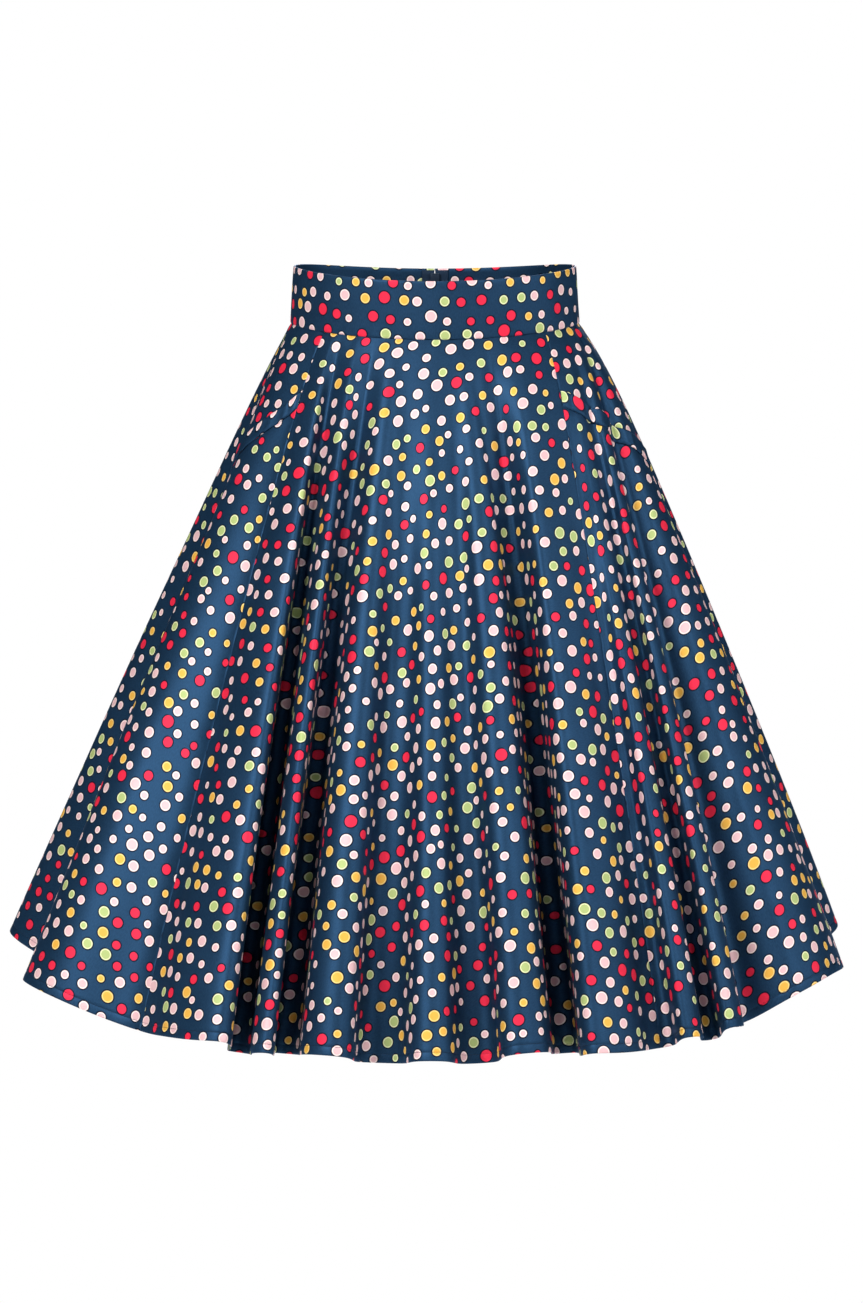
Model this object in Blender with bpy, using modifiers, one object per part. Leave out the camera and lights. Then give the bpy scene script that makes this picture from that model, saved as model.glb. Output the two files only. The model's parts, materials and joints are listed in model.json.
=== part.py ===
"""A high-waisted circle skirt, filled out as when it is worn, with its waistband, panels, hip pieces,
pocket bands and the concealed zip at the centre back. Metres, +Z up, front towards -Y, and the origin
at the middle of the waist opening."""

import math
from collections import namedtuple

import bmesh
import bpy
import numpy as np

MM = 0.001

# Driving sizes of the garment: the oval of the waistband's top edge, the oval of its seam with the
# panels, its height, the shortest panel, and how far the top edge dips at the front and the back
WAIST_HALF_WIDTH, WAIST_HALF_DEPTH = 0.1232, 0.0940
SEAM_HALF_WIDTH, SEAM_HALF_DEPTH = 0.1262, 0.0975
BAND_HEIGHT = 0.050
SKIRT_LENGTH = 0.607
FRONT_DIP, BACK_DIP = 0.006, 0.010

# The round of the hips, as a share of the flare: how much, how much more on the right side than on
# the left, how far down it is reached, and the power with which it fades towards the hem
HIP_ROUND, HIP_ROUND_TO_RIGHT = 0.050, 0.014
HIP_REACH, HIP_FADE = 0.080, 3

# Walls and the clearances between pieces
CLOTH = 1.5 * MM
BAND_CLOTH = 2.4 * MM
TAPE_CLOTH = 0.9 * MM
SEAM_GAP = 0.32 * MM
WAIST_SEAM_GAP = 1.1 * MM
ZIP_GAP = 1.5 * MM
LYING_GAP = 0.35 * MM

# The slanted pocket mouth is finished with a band. Its rows say how far up the band they lie and
# what share of the mouth's gape they stand out by.
POCKET_BAND, POCKET_GAPE, POCKET_BAND_LAP = 15 * MM, 0.8 * MM, 1.0 * MM
BandRow = namedtuple("BandRow", "up gape")
POCKET_BAND_ROWS = [BandRow(1.0, 1.0), BandRow(0.5, 0.4), BandRow(0.0, 0.0)]

# The zip: its tape, whose rows are distances below the band's top edge, its slider with a lug, and
# its pull tab, whose side is drawn from the joint's axis down
TAPE_WIDTH, TAPE_COLUMNS = 11 * MM, 3
TAPE_ROWS = np.array([4, 16, 32, 50, 75, 100, 135, 170, 200]) * MM
TAPE_OVER_SEAM = 1.15
SLIDER_DOWN = 9.5 * MM
SLIDER = dict(width=7.5 * MM, height=11 * MM, depth=2.6 * MM)
LUG = dict(thickness=0.8 * MM, height=6.4 * MM, stands=4.0 * MM, corner=1.2 * MM, slope=1.6 * MM)
EYE = dict(width=1.7 * MM, height=4.4 * MM, rim=0.75 * MM)
PULL = dict(width=5.4 * MM, thickness=0.9 * MM, bar=1.0 * MM)
PULL_SLOT = dict(width=2.2 * MM, height=5.4 * MM)
PullPoint = namedtuple("PullPoint", "share_of_width down")
PULL_SIDE = [
    PullPoint(0.62, -0.5 * MM),
    PullPoint(0.80, 6.0 * MM),
    PullPoint(1.00, 15.0 * MM),
    PullPoint(0.82, 18.4 * MM),
    PullPoint(0.40, 20.0 * MM),
]

# How smoothly the hem line is followed and how finely the solids are divided
LOOP_STEPS, COLUMN_SAMPLES, FALL_STEPS = 4096, 2000, 80
EVEN_PACE = 0.6
BASE_ROUNDING, FOLD_ROUNDING, LEAD_ROUNDING = 160 * MM, 20 * MM, 25 * MM
LEAST_FALL = 0.3
WAISTBAND_COLUMNS = 56
FINEST_COLUMN, COARSEST_COLUMN, SEAM_COLUMN, WIDER_PER_LENGTH = 6.5 * MM, 30 * MM, 3 * MM, 0.5
COLUMN_PER_RADIUS, BEND_WINDOW = 0.55, 17
SHARP_RIM = math.radians(50)

# The rows of each panel where it meets a seam, as distances down from the waist seam. Row POCKET_ROW
# is the lower seam of the pocket band, and the hem is one row more.
POCKET_ROW, HEM_ROW = 3, 8
SEAM_ROWS = {
    "princess": np.array([0, 21, 47, 73, 145, 218, 346, 480]) * MM,
    "side": np.array([0, 21, 92, 163, 190, 218, 346, 480]) * MM,
    "centre": np.array([0, 21, 60, 110, 160, 218, 346, 480]) * MM,
}

# One row for each ridge and valley of the hem seen from above, in millimetres, from the left side
# round the front, the right side and the back. across and forward place its rounded tip, tip is how
# wide that is, longer is cloth beyond SKIRT_LENGTH, growth is 1 where the fold starts at the waist
# and more where it starts lower, and waist is where it meets the waist seam, measured round the seam
# from the centre front (None: shared out between its neighbours).
Fold = namedtuple("Fold", "name across forward tip longer growth waist")
FOLDS = [
    Fold("side_left", -318, 80, 30, 0, 1.2, -172),
    Fold("left_hip_ridge", -338, 206, 64, 12, 1.2, None),
    Fold("princess_left", -252, 262, 34, 20, 1.2, -103),
    Fold("left_broad_ridge", -199, 318, 60, 26, 1.0, None),
    Fold("left_deep_valley", -166, 252, 16, 26, 0.95, -85.5),
    Fold("left_narrow_ridge", -144, 328, 15, 20, 0.95, None),
    Fold("left_second_valley", -127, 258, 17, 20, 0.95, -52),
    Fold("left_front_ridge", -90, 334, 34, 21, 1.0, -35),
    Fold("left_soft_valley", -46, 292, 30, 16, 1.8, None),
    Fold("centre_ridge", -3, 334, 26, 20, 1.8, None),
    Fold("right_soft_valley", 37, 299, 24, 17, 1.8, None),
    Fold("right_front_ridge", 76, 332, 34, 17, 1.2, None),
    Fold("right_deep_valley", 110, 250, 16, 20, 0.9, 44),
    Fold("right_wide_ridge", 148, 324, 44, 24, 1.0, 69),
    Fold("princess_right", 190, 284, 22, 24, 1.6, 107.5),
    Fold("right_low_ridge", 216, 304, 20, 27, 1.6, None),
    Fold("right_hip_valley", 232, 262, 16, 28, 1.0, None),
    Fold("right_narrow_ridge", 252, 284, 20, 30, 1.0, None),
    Fold("right_side_valley", 262, 226, 18, 24, 0.95, 152),
    Fold("right_hip_ridge", 330, 184, 104, 4, 1.2, None),
    Fold("side_right", 318, 20, 24, 0, 1.2, 172),
    Fold("back_ridge_1", 360, -60, 40, 0, 1.2, None),
    Fold("back_valley_1", 294, -112, 26, 6, 1.0, None),
    Fold("back_ridge_2", 314, -205, 40, 8, 1.0, None),
    Fold("back_valley_2", 232, -212, 26, 10, 1.0, None),
    Fold("back_ridge_3", 222, -300, 38, 12, 1.0, None),
    Fold("back_valley_3", 144, -268, 28, 12, 1.4, None),
    Fold("back_ridge_4", 112, -338, 38, 12, 1.0, None),
    Fold("back_valley_4", 60, -276, 26, 12, 1.0, None),
    Fold("back_ridge_5", 34, -340, 28, 12, 1.4, None),
    Fold("centre_back", 0, -292, 24, 12, 1.4, 353),
    Fold("back_ridge_6", -38, -340, 30, 12, 1.4, None),
    Fold("back_valley_6", -72, -278, 24, 12, 1.0, None),
    Fold("back_ridge_7", -122, -336, 40, 12, 1.0, None),
    Fold("back_valley_7", -150, -264, 26, 12, 1.4, None),
    Fold("back_ridge_8", -226, -298, 40, 12, 1.0, None),
    Fold("back_valley_8", -234, -206, 26, 10, 1.0, None),
    Fold("back_ridge_9", -318, -196, 42, 8, 1.0, None),
    Fold("back_valley_9", -298, -104, 26, 4, 1.0, None),
    Fold("back_ridge_10", -376, -10, 44, 0, 1.2, None),
]

# Colour, roughness and metallic value of each material slot
COLOURS = {
    "printed_sateen": ((0.012, 0.045, 0.085, 1.0), 0.42, 0.0),
    "zip_tape": ((0.010, 0.025, 0.050, 1.0), 0.75, 0.0),
    "zip_metal": ((0.045, 0.060, 0.085, 1.0), 0.38, 0.6),
}


def clear_scene():
    for obj in list(bpy.data.objects):
        bpy.data.objects.remove(obj)


def material(slot):
    """The slot's plain Principled finish, made once."""
    if slot in bpy.data.materials:
        return bpy.data.materials[slot]
    colour, roughness, metallic = COLOURS[slot]
    made = bpy.data.materials.new(slot)
    made.use_nodes = True
    shader = made.node_tree.nodes["Principled BSDF"]
    shader.inputs["Base Color"].default_value = colour
    shader.inputs["Roughness"].default_value = roughness
    shader.inputs["Metallic"].default_value = metallic
    return made


def smoothed_round(values, reach, length):
    """Values along a closed loop of this length, blurred with a bell curve of this reach."""
    waves = np.fft.rfftfreq(len(values), length / len(values))
    bell = np.exp(-2 * (math.pi * waves * reach) ** 2)
    spectrum = np.fft.rfft(values, axis=0)
    bell = bell.reshape(-1, *[1] * (spectrum.ndim - 1))
    return np.fft.irfft(spectrum * bell, len(values), axis=0)


def loop_length(points):
    """The running length along a closed loop, its whole length last."""
    steps = np.linalg.norm(np.roll(points, -1, axis=0) - points, axis=1)
    return np.concatenate([[0.0], np.cumsum(steps)])


def round_loop(values, at, arcs, length):
    """Values known at rising places on a closed loop, read at other places on it."""
    places = np.concatenate([at - length, at, at + length])
    known = np.concatenate([values, values, values])
    return np.interp(np.mod(arcs, length), places, known)


def closed_curve(points, places, length, at):
    """A periodic cubic spline: the smooth closed curve through points at rising places, read elsewhere."""
    count = len(points)
    step = np.diff(np.append(places, length))
    before = np.roll(step, 1)
    slopes = (np.roll(points, -1, axis=0) - points) / step[:, None]
    rows = np.arange(count)
    system = np.zeros((count, count))
    system[rows, rows] = 2 * (before + step)
    system[rows, rows - 1] += before
    system[rows, (rows + 1) % count] += step
    bends = np.linalg.solve(system, 6 * (slopes - np.roll(slopes, 1, axis=0)))
    first = np.searchsorted(places, at, side="right") - 1
    after = (first + 1) % count
    here = (at - places[first])[:, None]
    there = (places[first] + step[first] - at)[:, None]
    width = step[first][:, None]
    straight = (points[first] * there + points[after] * here) / width
    lift = bends[first] * (there**3 / width - there * width)
    lift += bends[after] * (here**3 / width - here * width)
    return straight + lift / 6


def ellipse_arcs(half_width, half_depth):
    """Angles from the centre front and the arc length to each, both negative on the left."""
    angles = np.linspace(-math.pi, math.pi, LOOP_STEPS + 1)
    points = np.stack([half_width * np.sin(angles), half_depth * np.cos(angles)], axis=1)
    arcs = np.concatenate([[0.0], np.cumsum(np.linalg.norm(np.diff(points, axis=0), axis=1))])
    return angles, arcs - np.interp(0.0, angles, arcs)


def fold_tips():
    """Two points for each fold, the two ends of its rounded tip, which lies square to its bearing."""
    tips = []
    for fold in FOLDS:
        bearing = math.atan2(fold.across, fold.forward)
        along = np.array([math.cos(bearing), -math.sin(bearing)])
        middle = np.array([fold.across, fold.forward])
        tips.append(middle - along * fold.tip / 2)
        tips.append(middle + along * fold.tip / 2)
    return np.array(tips) * MM


class Form:
    """The worn shape: the waist oval, the folded hem line, and the lines of cloth between them."""

    def __init__(self):
        self.trace_hem()
        self.spread_folds()
        self.angles, self.seam_arcs = ellipse_arcs(SEAM_HALF_WIDTH, SEAM_HALF_DEPTH)
        self.waist = self.seam_arcs[-1] - self.seam_arcs[0]
        self.lead_to_waist()

    def trace_hem(self):
        """The hem line seen from above, evenly stepped, and where each fold's tip lies on it."""
        tips = fold_tips()
        chords = np.diff(loop_length(tips))
        tip_at = np.concatenate([[0.0], np.cumsum(chords**EVEN_PACE)])
        even = np.linspace(0.0, tip_at[-1], LOOP_STEPS, endpoint=False)
        curve = closed_curve(tips, tip_at[:-1], tip_at[-1], even)
        curve_at = loop_length(curve)
        self.hem = curve_at[-1]
        self.arcs = np.linspace(0.0, self.hem, LOOP_STEPS, endpoint=False)
        across, forward = (round_loop(curve[:, axis], curve_at[:-1], self.arcs, self.hem) for axis in (0, 1))
        self.line = np.stack([across, forward], axis=1)
        self.base = smoothed_round(self.line, BASE_ROUNDING, self.hem)
        middles = (tip_at[0:-1:2] + tip_at[1::2]) / 2
        places = np.interp(middles, even, curve_at[:-1])
        self.place = {fold.name: place for fold, place in zip(FOLDS, places)}

    def spread_folds(self):
        """Each fold's extra length and growth, shared smoothly with its neighbours."""
        places = np.array([self.place[fold.name] for fold in FOLDS])
        longer = round_loop(np.array([fold.longer for fold in FOLDS]) * MM, places, self.arcs, self.hem)
        growth = round_loop(np.array([fold.growth for fold in FOLDS]), places, self.arcs, self.hem)
        self.longer = smoothed_round(longer, FOLD_ROUNDING, self.hem)
        self.growth = smoothed_round(growth, FOLD_ROUNDING, self.hem)

    def lead_to_waist(self):
        """How far each place on the waist seam lies ahead of an even share of the hem."""
        held = [fold for fold in FOLDS if fold.waist is not None]
        places = np.array([self.place[fold.name] for fold in held])
        waists = np.array([fold.waist for fold in held]) * MM
        lead = round_loop(waists - places * self.waist / self.hem, places, self.arcs, self.hem)
        self.lead = smoothed_round(lead, LEAD_ROUNDING, self.hem)

    def read(self, values, arcs):
        return round_loop(values, self.arcs, arcs, self.hem)

    def read_line(self, line, arcs):
        return np.stack([self.read(line[:, axis], arcs) for axis in (0, 1)], axis=1)

    def angle(self, arcs):
        """The angle on the waist oval that this place on the hem hangs from, 0 at the centre front."""
        waist_arc = np.mod(arcs, self.hem) * self.waist / self.hem + self.read(self.lead, arcs)
        wrapped = np.mod(waist_arc - self.seam_arcs[0], self.waist) + self.seam_arcs[0]
        return np.interp(wrapped, self.seam_arcs, self.angles)

    def points(self, arcs, down):
        """The middle of the wall, at places along the hem and distances below the band's top edge."""
        arcs, down = np.broadcast_arrays(np.asarray(arcs, float), np.asarray(down, float))
        shape = arcs.shape
        arcs, down = arcs.ravel(), down.ravel()
        angle = self.angle(arcs)
        facing = np.cos(angle)
        dip = np.where(facing > 0, FRONT_DIP, BACK_DIP) * facing**2
        in_band = np.clip(down / BAND_HEIGHT, 0.0, 1.0)
        half_width = WAIST_HALF_WIDTH + (SEAM_HALF_WIDTH - WAIST_HALF_WIDTH) * in_band
        half_depth = WAIST_HALF_DEPTH + (SEAM_HALF_DEPTH - WAIST_HALF_DEPTH) * in_band
        waist = np.stack([half_width * np.sin(angle), half_depth * facing], axis=1)
        length = SKIRT_LENGTH + self.read(self.longer, arcs)
        share = np.clip((down - BAND_HEIGHT) / length, 0.0, 1.0)
        part = np.linspace(0.0, 1.0, FALL_STEPS + 1)[None, :] * share[:, None]
        hip = HIP_ROUND + HIP_ROUND_TO_RIGHT * np.sin(angle)
        flare = part + hip[:, None] * (1 - np.exp(-part / HIP_REACH)) * (1 - part**HIP_FADE)
        fold = part ** self.read(self.growth, arcs)[:, None]
        hem, base = self.read_line(self.line, arcs), self.read_line(self.base, arcs)
        path = (base - waist)[:, None, :] * flare[..., None] + (hem - base)[:, None, :] * fold[..., None]
        sideways = np.linalg.norm(np.diff(path, axis=1), axis=2)
        along = np.diff(part, axis=1) * length[:, None]
        fall = np.sqrt(np.maximum(along**2 - sideways**2, (LEAST_FALL * along) ** 2)).sum(axis=1)
        level = waist + path[:, -1]
        height = -dip - BAND_HEIGHT * in_band - fall
        return np.stack([level[:, 0], -level[:, 1], height], axis=1).reshape(*shape, 3)

    def outwards(self, arcs, down):
        """Unit normals of the wall, away from the wearer."""
        round_it = self.points(arcs + MM, down) - self.points(arcs - MM, down)
        down_it = self.points(arcs, down + MM) - self.points(arcs, np.maximum(down - MM, 0.0))
        normal = np.cross(down_it, round_it)
        return normal / np.linalg.norm(normal, axis=-1, keepdims=True)

    def moved_out(self, arcs, down, out):
        """Points of the wall, moved out from its middle."""
        arcs, down, out = np.broadcast_arrays(arcs, down, out)
        return self.points(arcs, down) + self.outwards(arcs, down) * out[..., None]

    def columns(self, start, end):
        """Places along the hem from start to end, closer where it turns tightly and beside a seam."""
        arcs = np.linspace(start, end, COLUMN_SAMPLES)
        step = arcs[1] - arcs[0]
        line = self.read_line(self.line, arcs)
        heading = np.unwrap(np.arctan2(*np.gradient(line, step, axis=0).T))
        bend = np.pad(np.abs(np.gradient(heading, step)), BEND_WINDOW // 2, mode="edge")
        bend = np.convolve(bend, np.ones(BEND_WINDOW) / BEND_WINDOW, mode="valid")
        tight = COLUMN_PER_RADIUS / np.maximum(bend, COLUMN_PER_RADIUS / COARSEST_COLUMN)
        spacing = np.maximum(tight, FINEST_COLUMN)
        to_seam = np.minimum(arcs - start, end - arcs)
        spacing = np.minimum(spacing, SEAM_COLUMN + WIDER_PER_LENGTH * to_seam)
        counted = np.concatenate([[0.0], np.cumsum((1 / spacing[1:] + 1 / spacing[:-1]) / 2 * step)])
        pieces = math.ceil(counted[-1])
        return np.interp(np.linspace(0.0, counted[-1], pieces + 1), counted, arcs)


def grid_object(name, points):
    """A sheet of faces from Blender's grid, its corners moved to points[column, row]."""
    columns, rows = points.shape[0] - 1, points.shape[1] - 1
    bpy.ops.mesh.primitive_grid_add(x_subdivisions=columns, y_subdivisions=rows, size=1.0)
    sheet = bpy.context.object
    sheet.name = sheet.data.name = name
    for vertex in sheet.data.vertices:
        column = round((vertex.co.x + 0.5) * columns)
        row = round((0.5 - vertex.co.y) * rows)
        vertex.co = points[column, row]
    return sheet


def finish(obj, slot, collection):
    """The material, smooth shading with sharp rims, and the skirt's collection."""
    obj.data.materials.clear()
    obj.data.materials.append(material(slot))
    obj.data.shade_smooth()
    obj.data.set_sharp_from_angle(angle=SHARP_RIM)
    for holder in list(obj.users_collection):
        holder.objects.unlink(obj)
    collection.objects.link(obj)


def cloth_piece(name, points, thickness, slot, collection):
    """A piece of cloth: the sheet through the middle of its wall, given its thickness to both sides."""
    sheet = grid_object(name, points)
    wall = sheet.modifiers.new("Wall", "SOLIDIFY")
    wall.thickness = thickness
    wall.offset = 0.0
    finish(sheet, slot, collection)


def pulled_in(points, gap_start, gap_end):
    """The sheet with its first and last columns moved in from the seam lines along each row."""
    points = points.copy()
    for edge, inner, gap in ((0, 1, gap_start), (-1, -2, gap_end)):
        towards = points[inner] - points[edge]
        points[edge] += towards / np.linalg.norm(towards, axis=1, keepdims=True) * gap
    return points


def seam_places(form, seam, other):
    """Where two seams stand on the hem, in rising order, with their rows in the same order."""
    pairs = sorted([(form.place[name], SEAM_ROWS[name.split("_")[0]]) for name in (seam, other)])
    return [pair[0] for pair in pairs], [pair[1] for pair in pairs]


def rows_across(form, arcs, ends, end_rows, first, last):
    """The depths of a panel's rows from first to last at each column, shared between its two seams."""
    share = (arcs - ends[0]) / (ends[1] - ends[0])
    rows = BAND_HEIGHT + (1 - share)[:, None] * end_rows[0] + share[:, None] * end_rows[1]
    hem = BAND_HEIGHT + SKIRT_LENGTH + form.read(form.longer, arcs)
    rows = np.concatenate([rows, hem[:, None]], axis=1)[:, first : last + 1]
    rows[:, 0] += WAIST_SEAM_GAP if first == 0 else SEAM_GAP / 2
    rows[:, -1] -= 0.0 if last == HEM_ROW else SEAM_GAP / 2
    return rows


def make_waistband(form, collection):
    """One strip round the waist, its ends meeting the zip at the centre back."""
    back = form.place["centre_back"]
    hem_places = np.linspace(back - form.hem, back, LOOP_STEPS + 1)[1:-1]
    angles = np.linspace(-math.pi, math.pi, WAISTBAND_COLUMNS + 1)
    arcs = np.interp(angles, np.unwrap(form.angle(hem_places)), hem_places)
    arcs[0], arcs[-1] = back - form.hem, back
    down = np.array([0.0, BAND_HEIGHT / 2, BAND_HEIGHT])
    points = pulled_in(form.points(arcs[:, None], down[None, :]), ZIP_GAP / 2, ZIP_GAP / 2)
    cloth_piece("waistband", points, BAND_CLOTH, "printed_sateen", collection)


def make_panel(form, name, ends, end_rows, collection, first=0, last=HEM_ROW, gaps=None):
    """A panel between two seams, from one of its rows to another, with half a seam's gap at each side."""
    arcs = form.columns(*ends)
    down = rows_across(form, arcs, ends, end_rows, first, last)
    points = pulled_in(form.points(arcs[:, None], down), *(gaps or (SEAM_GAP / 2, SEAM_GAP / 2)))
    cloth_piece(name, points, CLOTH, "printed_sateen", collection)


def make_side(form, side, collection):
    """The side front below the pocket mouth, the hip piece above and behind it, and the mouth's band."""
    ends, end_rows = seam_places(form, f"side_{side}", f"princess_{side}")
    make_panel(form, f"side_front_{side}", ends, end_rows, collection, first=POCKET_ROW)
    make_panel(form, f"hip_{side}", ends, end_rows, collection, last=POCKET_ROW)
    arcs = form.columns(*ends)
    sewn = rows_across(form, arcs, ends, end_rows, POCKET_ROW, POCKET_ROW)[:, :1] + POCKET_BAND_LAP
    down = sewn - POCKET_BAND * np.array([row.up for row in POCKET_BAND_ROWS])
    out = CLOTH + LYING_GAP + POCKET_GAPE * np.array([row.gape for row in POCKET_BAND_ROWS])
    points = pulled_in(form.moved_out(arcs[:, None], down, out), SEAM_GAP / 2, SEAM_GAP / 2)
    cloth_piece(f"pocket_band_{side}", points, CLOTH, "printed_sateen", collection)


def make_zip_tape(form, side, collection):
    """Half of the zip's tape, inside the waistband and the back seam."""
    back = form.place["centre_back"]
    sign = {"left": 1.0, "right": -1.0}[side]
    across = np.linspace(0.0, TAPE_WIDTH, TAPE_COLUMNS + 1)
    reach = np.linalg.norm(form.points(back + MM, TAPE_ROWS) - form.points(back, TAPE_ROWS), axis=1) / MM
    arcs = back + sign * (ZIP_GAP / 2 + across)[:, None] / reach[None, :]
    inside = -(BAND_CLOTH / 2 + LYING_GAP + TAPE_CLOTH / 2)
    out = np.where(np.isclose(TAPE_ROWS, BAND_HEIGHT), inside * TAPE_OVER_SEAM, inside)
    points = form.moved_out(arcs, TAPE_ROWS[None, :], out[None, :])
    if sign < 0:
        points = points[::-1]
    cloth_piece(f"zip_tape_{side}", points, TAPE_CLOTH, "zip_tape", collection)


def flat_outline(name, outlines, thickness):
    """A flat plate in the XY plane from closed outlines, the later ones cut out of the first."""
    curve = bpy.data.curves.new(name, "CURVE")
    curve.dimensions = "2D"
    curve.fill_mode = "BOTH"
    curve.extrude = thickness / 2
    for outline in outlines:
        spline = curve.splines.new("POLY")
        spline.points.add(len(outline) - 1)
        for point, (x, y) in zip(spline.points, outline):
            point.co = (x, y, 0.0, 1.0)
        spline.use_cyclic_u = True
    plate = bpy.data.objects.new(name, curve)
    bpy.context.scene.collection.objects.link(plate)
    return plate


def as_mesh(obj):
    """The curve object replaced by a closed mesh of the same place and name."""
    bpy.context.view_layer.update()
    graph = bpy.context.evaluated_depsgraph_get()
    mesh = bpy.data.meshes.new_from_object(obj.evaluated_get(graph))
    work = bmesh.new()
    work.from_mesh(mesh)
    bmesh.ops.remove_doubles(work, verts=work.verts, dist=1e-6)
    work.to_mesh(mesh)
    work.free()
    name, matrix = obj.name, obj.matrix_world.copy()
    bpy.data.objects.remove(obj)
    solid = bpy.data.objects.new(name, mesh)
    solid.matrix_world = matrix
    bpy.context.scene.collection.objects.link(solid)
    return solid


def oval(width, height, centre, corners=16):
    """A round-ended outline, its longer way along Y."""
    radius = width / 2
    straight = height / 2 - radius
    outline = []
    for step in range(corners):
        turn = 2 * math.pi * (step + 0.5) / corners
        lift = straight if math.sin(turn) > 0 else -straight
        outline.append((centre[0] + radius * math.cos(turn), centre[1] + radius * math.sin(turn) + lift))
    return outline


def zip_place(form):
    """The waistband's outer face and the height at the slider's middle, and its inner face above it."""
    back = form.place["centre_back"]
    middle = form.points(back, SLIDER_DOWN)
    above = form.points(back, SLIDER_DOWN - SLIDER["height"] / 2)
    return middle[1] + BAND_CLOTH / 2, middle[2], above[1] - BAND_CLOTH / 2


def make_lug(low, high, level, eye_middle):
    """The slider's lug, a plate with an eye, standing in the zip's opening."""
    half = LUG["height"] / 2
    top = [(low, half), (high - LUG["corner"], half), (high, half - LUG["slope"])]
    plate = top + [(along, -up) for along, up in reversed(top)]
    eye = oval(EYE["width"], EYE["height"], (eye_middle, 0.0))
    lug = flat_outline("lug", [plate, eye], LUG["thickness"])
    lug.rotation_euler = (math.radians(90), 0.0, math.radians(90))
    lug.location = (0.0, 0.0, level)
    lug = as_mesh(lug)
    lug.hide_render = True
    lug.display_type = "WIRE"
    return lug


def make_slider(form, collection):
    """The slider: its body inside the zip's tapes, and a lug that stands out between their edges."""
    outer, level, inner = zip_place(form)
    body_outer = inner - LYING_GAP - TAPE_CLOTH - LYING_GAP
    body_middle = body_outer - SLIDER["depth"] / 2
    bpy.ops.mesh.primitive_cube_add(size=1.0, location=(0.0, body_middle, level))
    slider = bpy.context.object
    slider.name = slider.data.name = "zip_slider"
    slider.scale = (SLIDER["width"], SLIDER["depth"], SLIDER["height"])
    bpy.ops.object.transform_apply(location=False, rotation=False, scale=True)
    tip = outer + LUG["stands"]
    eye_middle = tip - EYE["rim"] - EYE["width"] / 2
    joined = slider.modifiers.new("Lug", "BOOLEAN")
    joined.operation = "UNION"
    joined.object = make_lug(body_middle, tip, level, eye_middle)
    finish(slider, "zip_metal", collection)
    return eye_middle, level


def make_pull(axis_y, axis_z, collection):
    """The pull tab, hanging from the lug by the bar above its slot. Its origin is on the joint's axis."""
    right = [(PULL["width"] / 2 * point.share_of_width, -point.down) for point in PULL_SIDE]
    outline = [(-across, up) for across, up in right] + right[::-1]
    slot_middle = -PULL["bar"] / 2 - PULL_SLOT["height"] / 2
    slot = oval(PULL_SLOT["width"], PULL_SLOT["height"], (0.0, slot_middle))
    pull = flat_outline("zip_pull", [outline, slot], PULL["thickness"])
    pull.rotation_euler = (math.radians(90), 0.0, 0.0)
    pull.location = (0.0, axis_y, axis_z)
    finish(as_mesh(pull), "zip_metal", collection)


def make_back(form, side, collection):
    """Half of the back, from the side seam to the zip."""
    other = {"right": "side_right", "left": "side_left_again"}[side]
    to_zip, to_seam = ZIP_GAP / 2, SEAM_GAP / 2
    gaps = {"right": (to_seam, to_zip), "left": (to_zip, to_seam)}[side]
    ends, end_rows = seam_places(form, "centre_back", other)
    make_panel(form, f"back_{side}", ends, end_rows, collection, gaps=gaps)


def main():
    clear_scene()
    collection = bpy.data.collections.new("circle_skirt")
    bpy.context.scene.collection.children.link(collection)
    form = Form()
    form.place["side_left_again"] = form.place["side_left"] + form.hem
    make_waistband(form, collection)
    make_panel(form, "front_centre", *seam_places(form, "princess_left", "princess_right"), collection)
    for side in ("left", "right"):
        make_side(form, side, collection)
        make_back(form, side, collection)
        make_zip_tape(form, side, collection)
    axis_y, axis_z = make_slider(form, collection)
    make_pull(axis_y, axis_z, collection)
    print(f"pull hinge at y {axis_y:.5f}, z {axis_z:.5f}; hem {form.hem:.3f} m, waist {form.waist:.3f} m")


main()
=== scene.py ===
# %% [markdown]
# # A circle skirt in printed sateen
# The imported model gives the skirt's pieces at their real size, as plain walls of cloth. This lesson
# dresses each of them: fine sheets of cloth on the same form, with rolled seams, a turned hem and its
# stitches, a folded waistband, pocket bands and a concealed zip, all in a dotted cotton sateen.

# %% Load the frame
import json
import math
from collections import namedtuple

import bpy
import numpy as np
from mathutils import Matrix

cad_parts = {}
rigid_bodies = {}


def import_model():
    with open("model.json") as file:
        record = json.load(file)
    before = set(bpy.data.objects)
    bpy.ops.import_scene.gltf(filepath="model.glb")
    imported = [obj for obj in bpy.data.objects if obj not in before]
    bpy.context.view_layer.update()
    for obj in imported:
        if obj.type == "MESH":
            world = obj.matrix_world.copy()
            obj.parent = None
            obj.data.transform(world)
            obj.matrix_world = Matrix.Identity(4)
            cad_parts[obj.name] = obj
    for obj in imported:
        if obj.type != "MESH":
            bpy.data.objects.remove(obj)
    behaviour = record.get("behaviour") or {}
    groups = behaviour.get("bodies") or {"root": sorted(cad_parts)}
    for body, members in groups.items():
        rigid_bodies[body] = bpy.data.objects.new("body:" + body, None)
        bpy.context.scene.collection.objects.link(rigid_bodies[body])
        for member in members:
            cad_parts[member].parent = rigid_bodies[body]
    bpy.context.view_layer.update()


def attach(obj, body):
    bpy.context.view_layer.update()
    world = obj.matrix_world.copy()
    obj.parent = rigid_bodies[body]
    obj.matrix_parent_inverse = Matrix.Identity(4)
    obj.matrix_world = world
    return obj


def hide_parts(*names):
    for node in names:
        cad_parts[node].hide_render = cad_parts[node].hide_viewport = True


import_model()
MM = 0.001

# %% [markdown]
# ## Camera, floor and light
# The skirt hangs at waist height, so the floor lies well below the hem. The camera stands 4.2 m in
# front of it, a little above the waist, and looks down by nine degrees: that is the angle at which
# the band's front edge dips as it does in the photograph. A strong soft light at the front left and
# one of half its power at the front right make bright ridges and dark flanks, and weak ones fill the
# front, the right side, the top and the back. The surround is white to the camera, as in a cut-out
# picture, but gives little light, so the deep folds stay dark.

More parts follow.
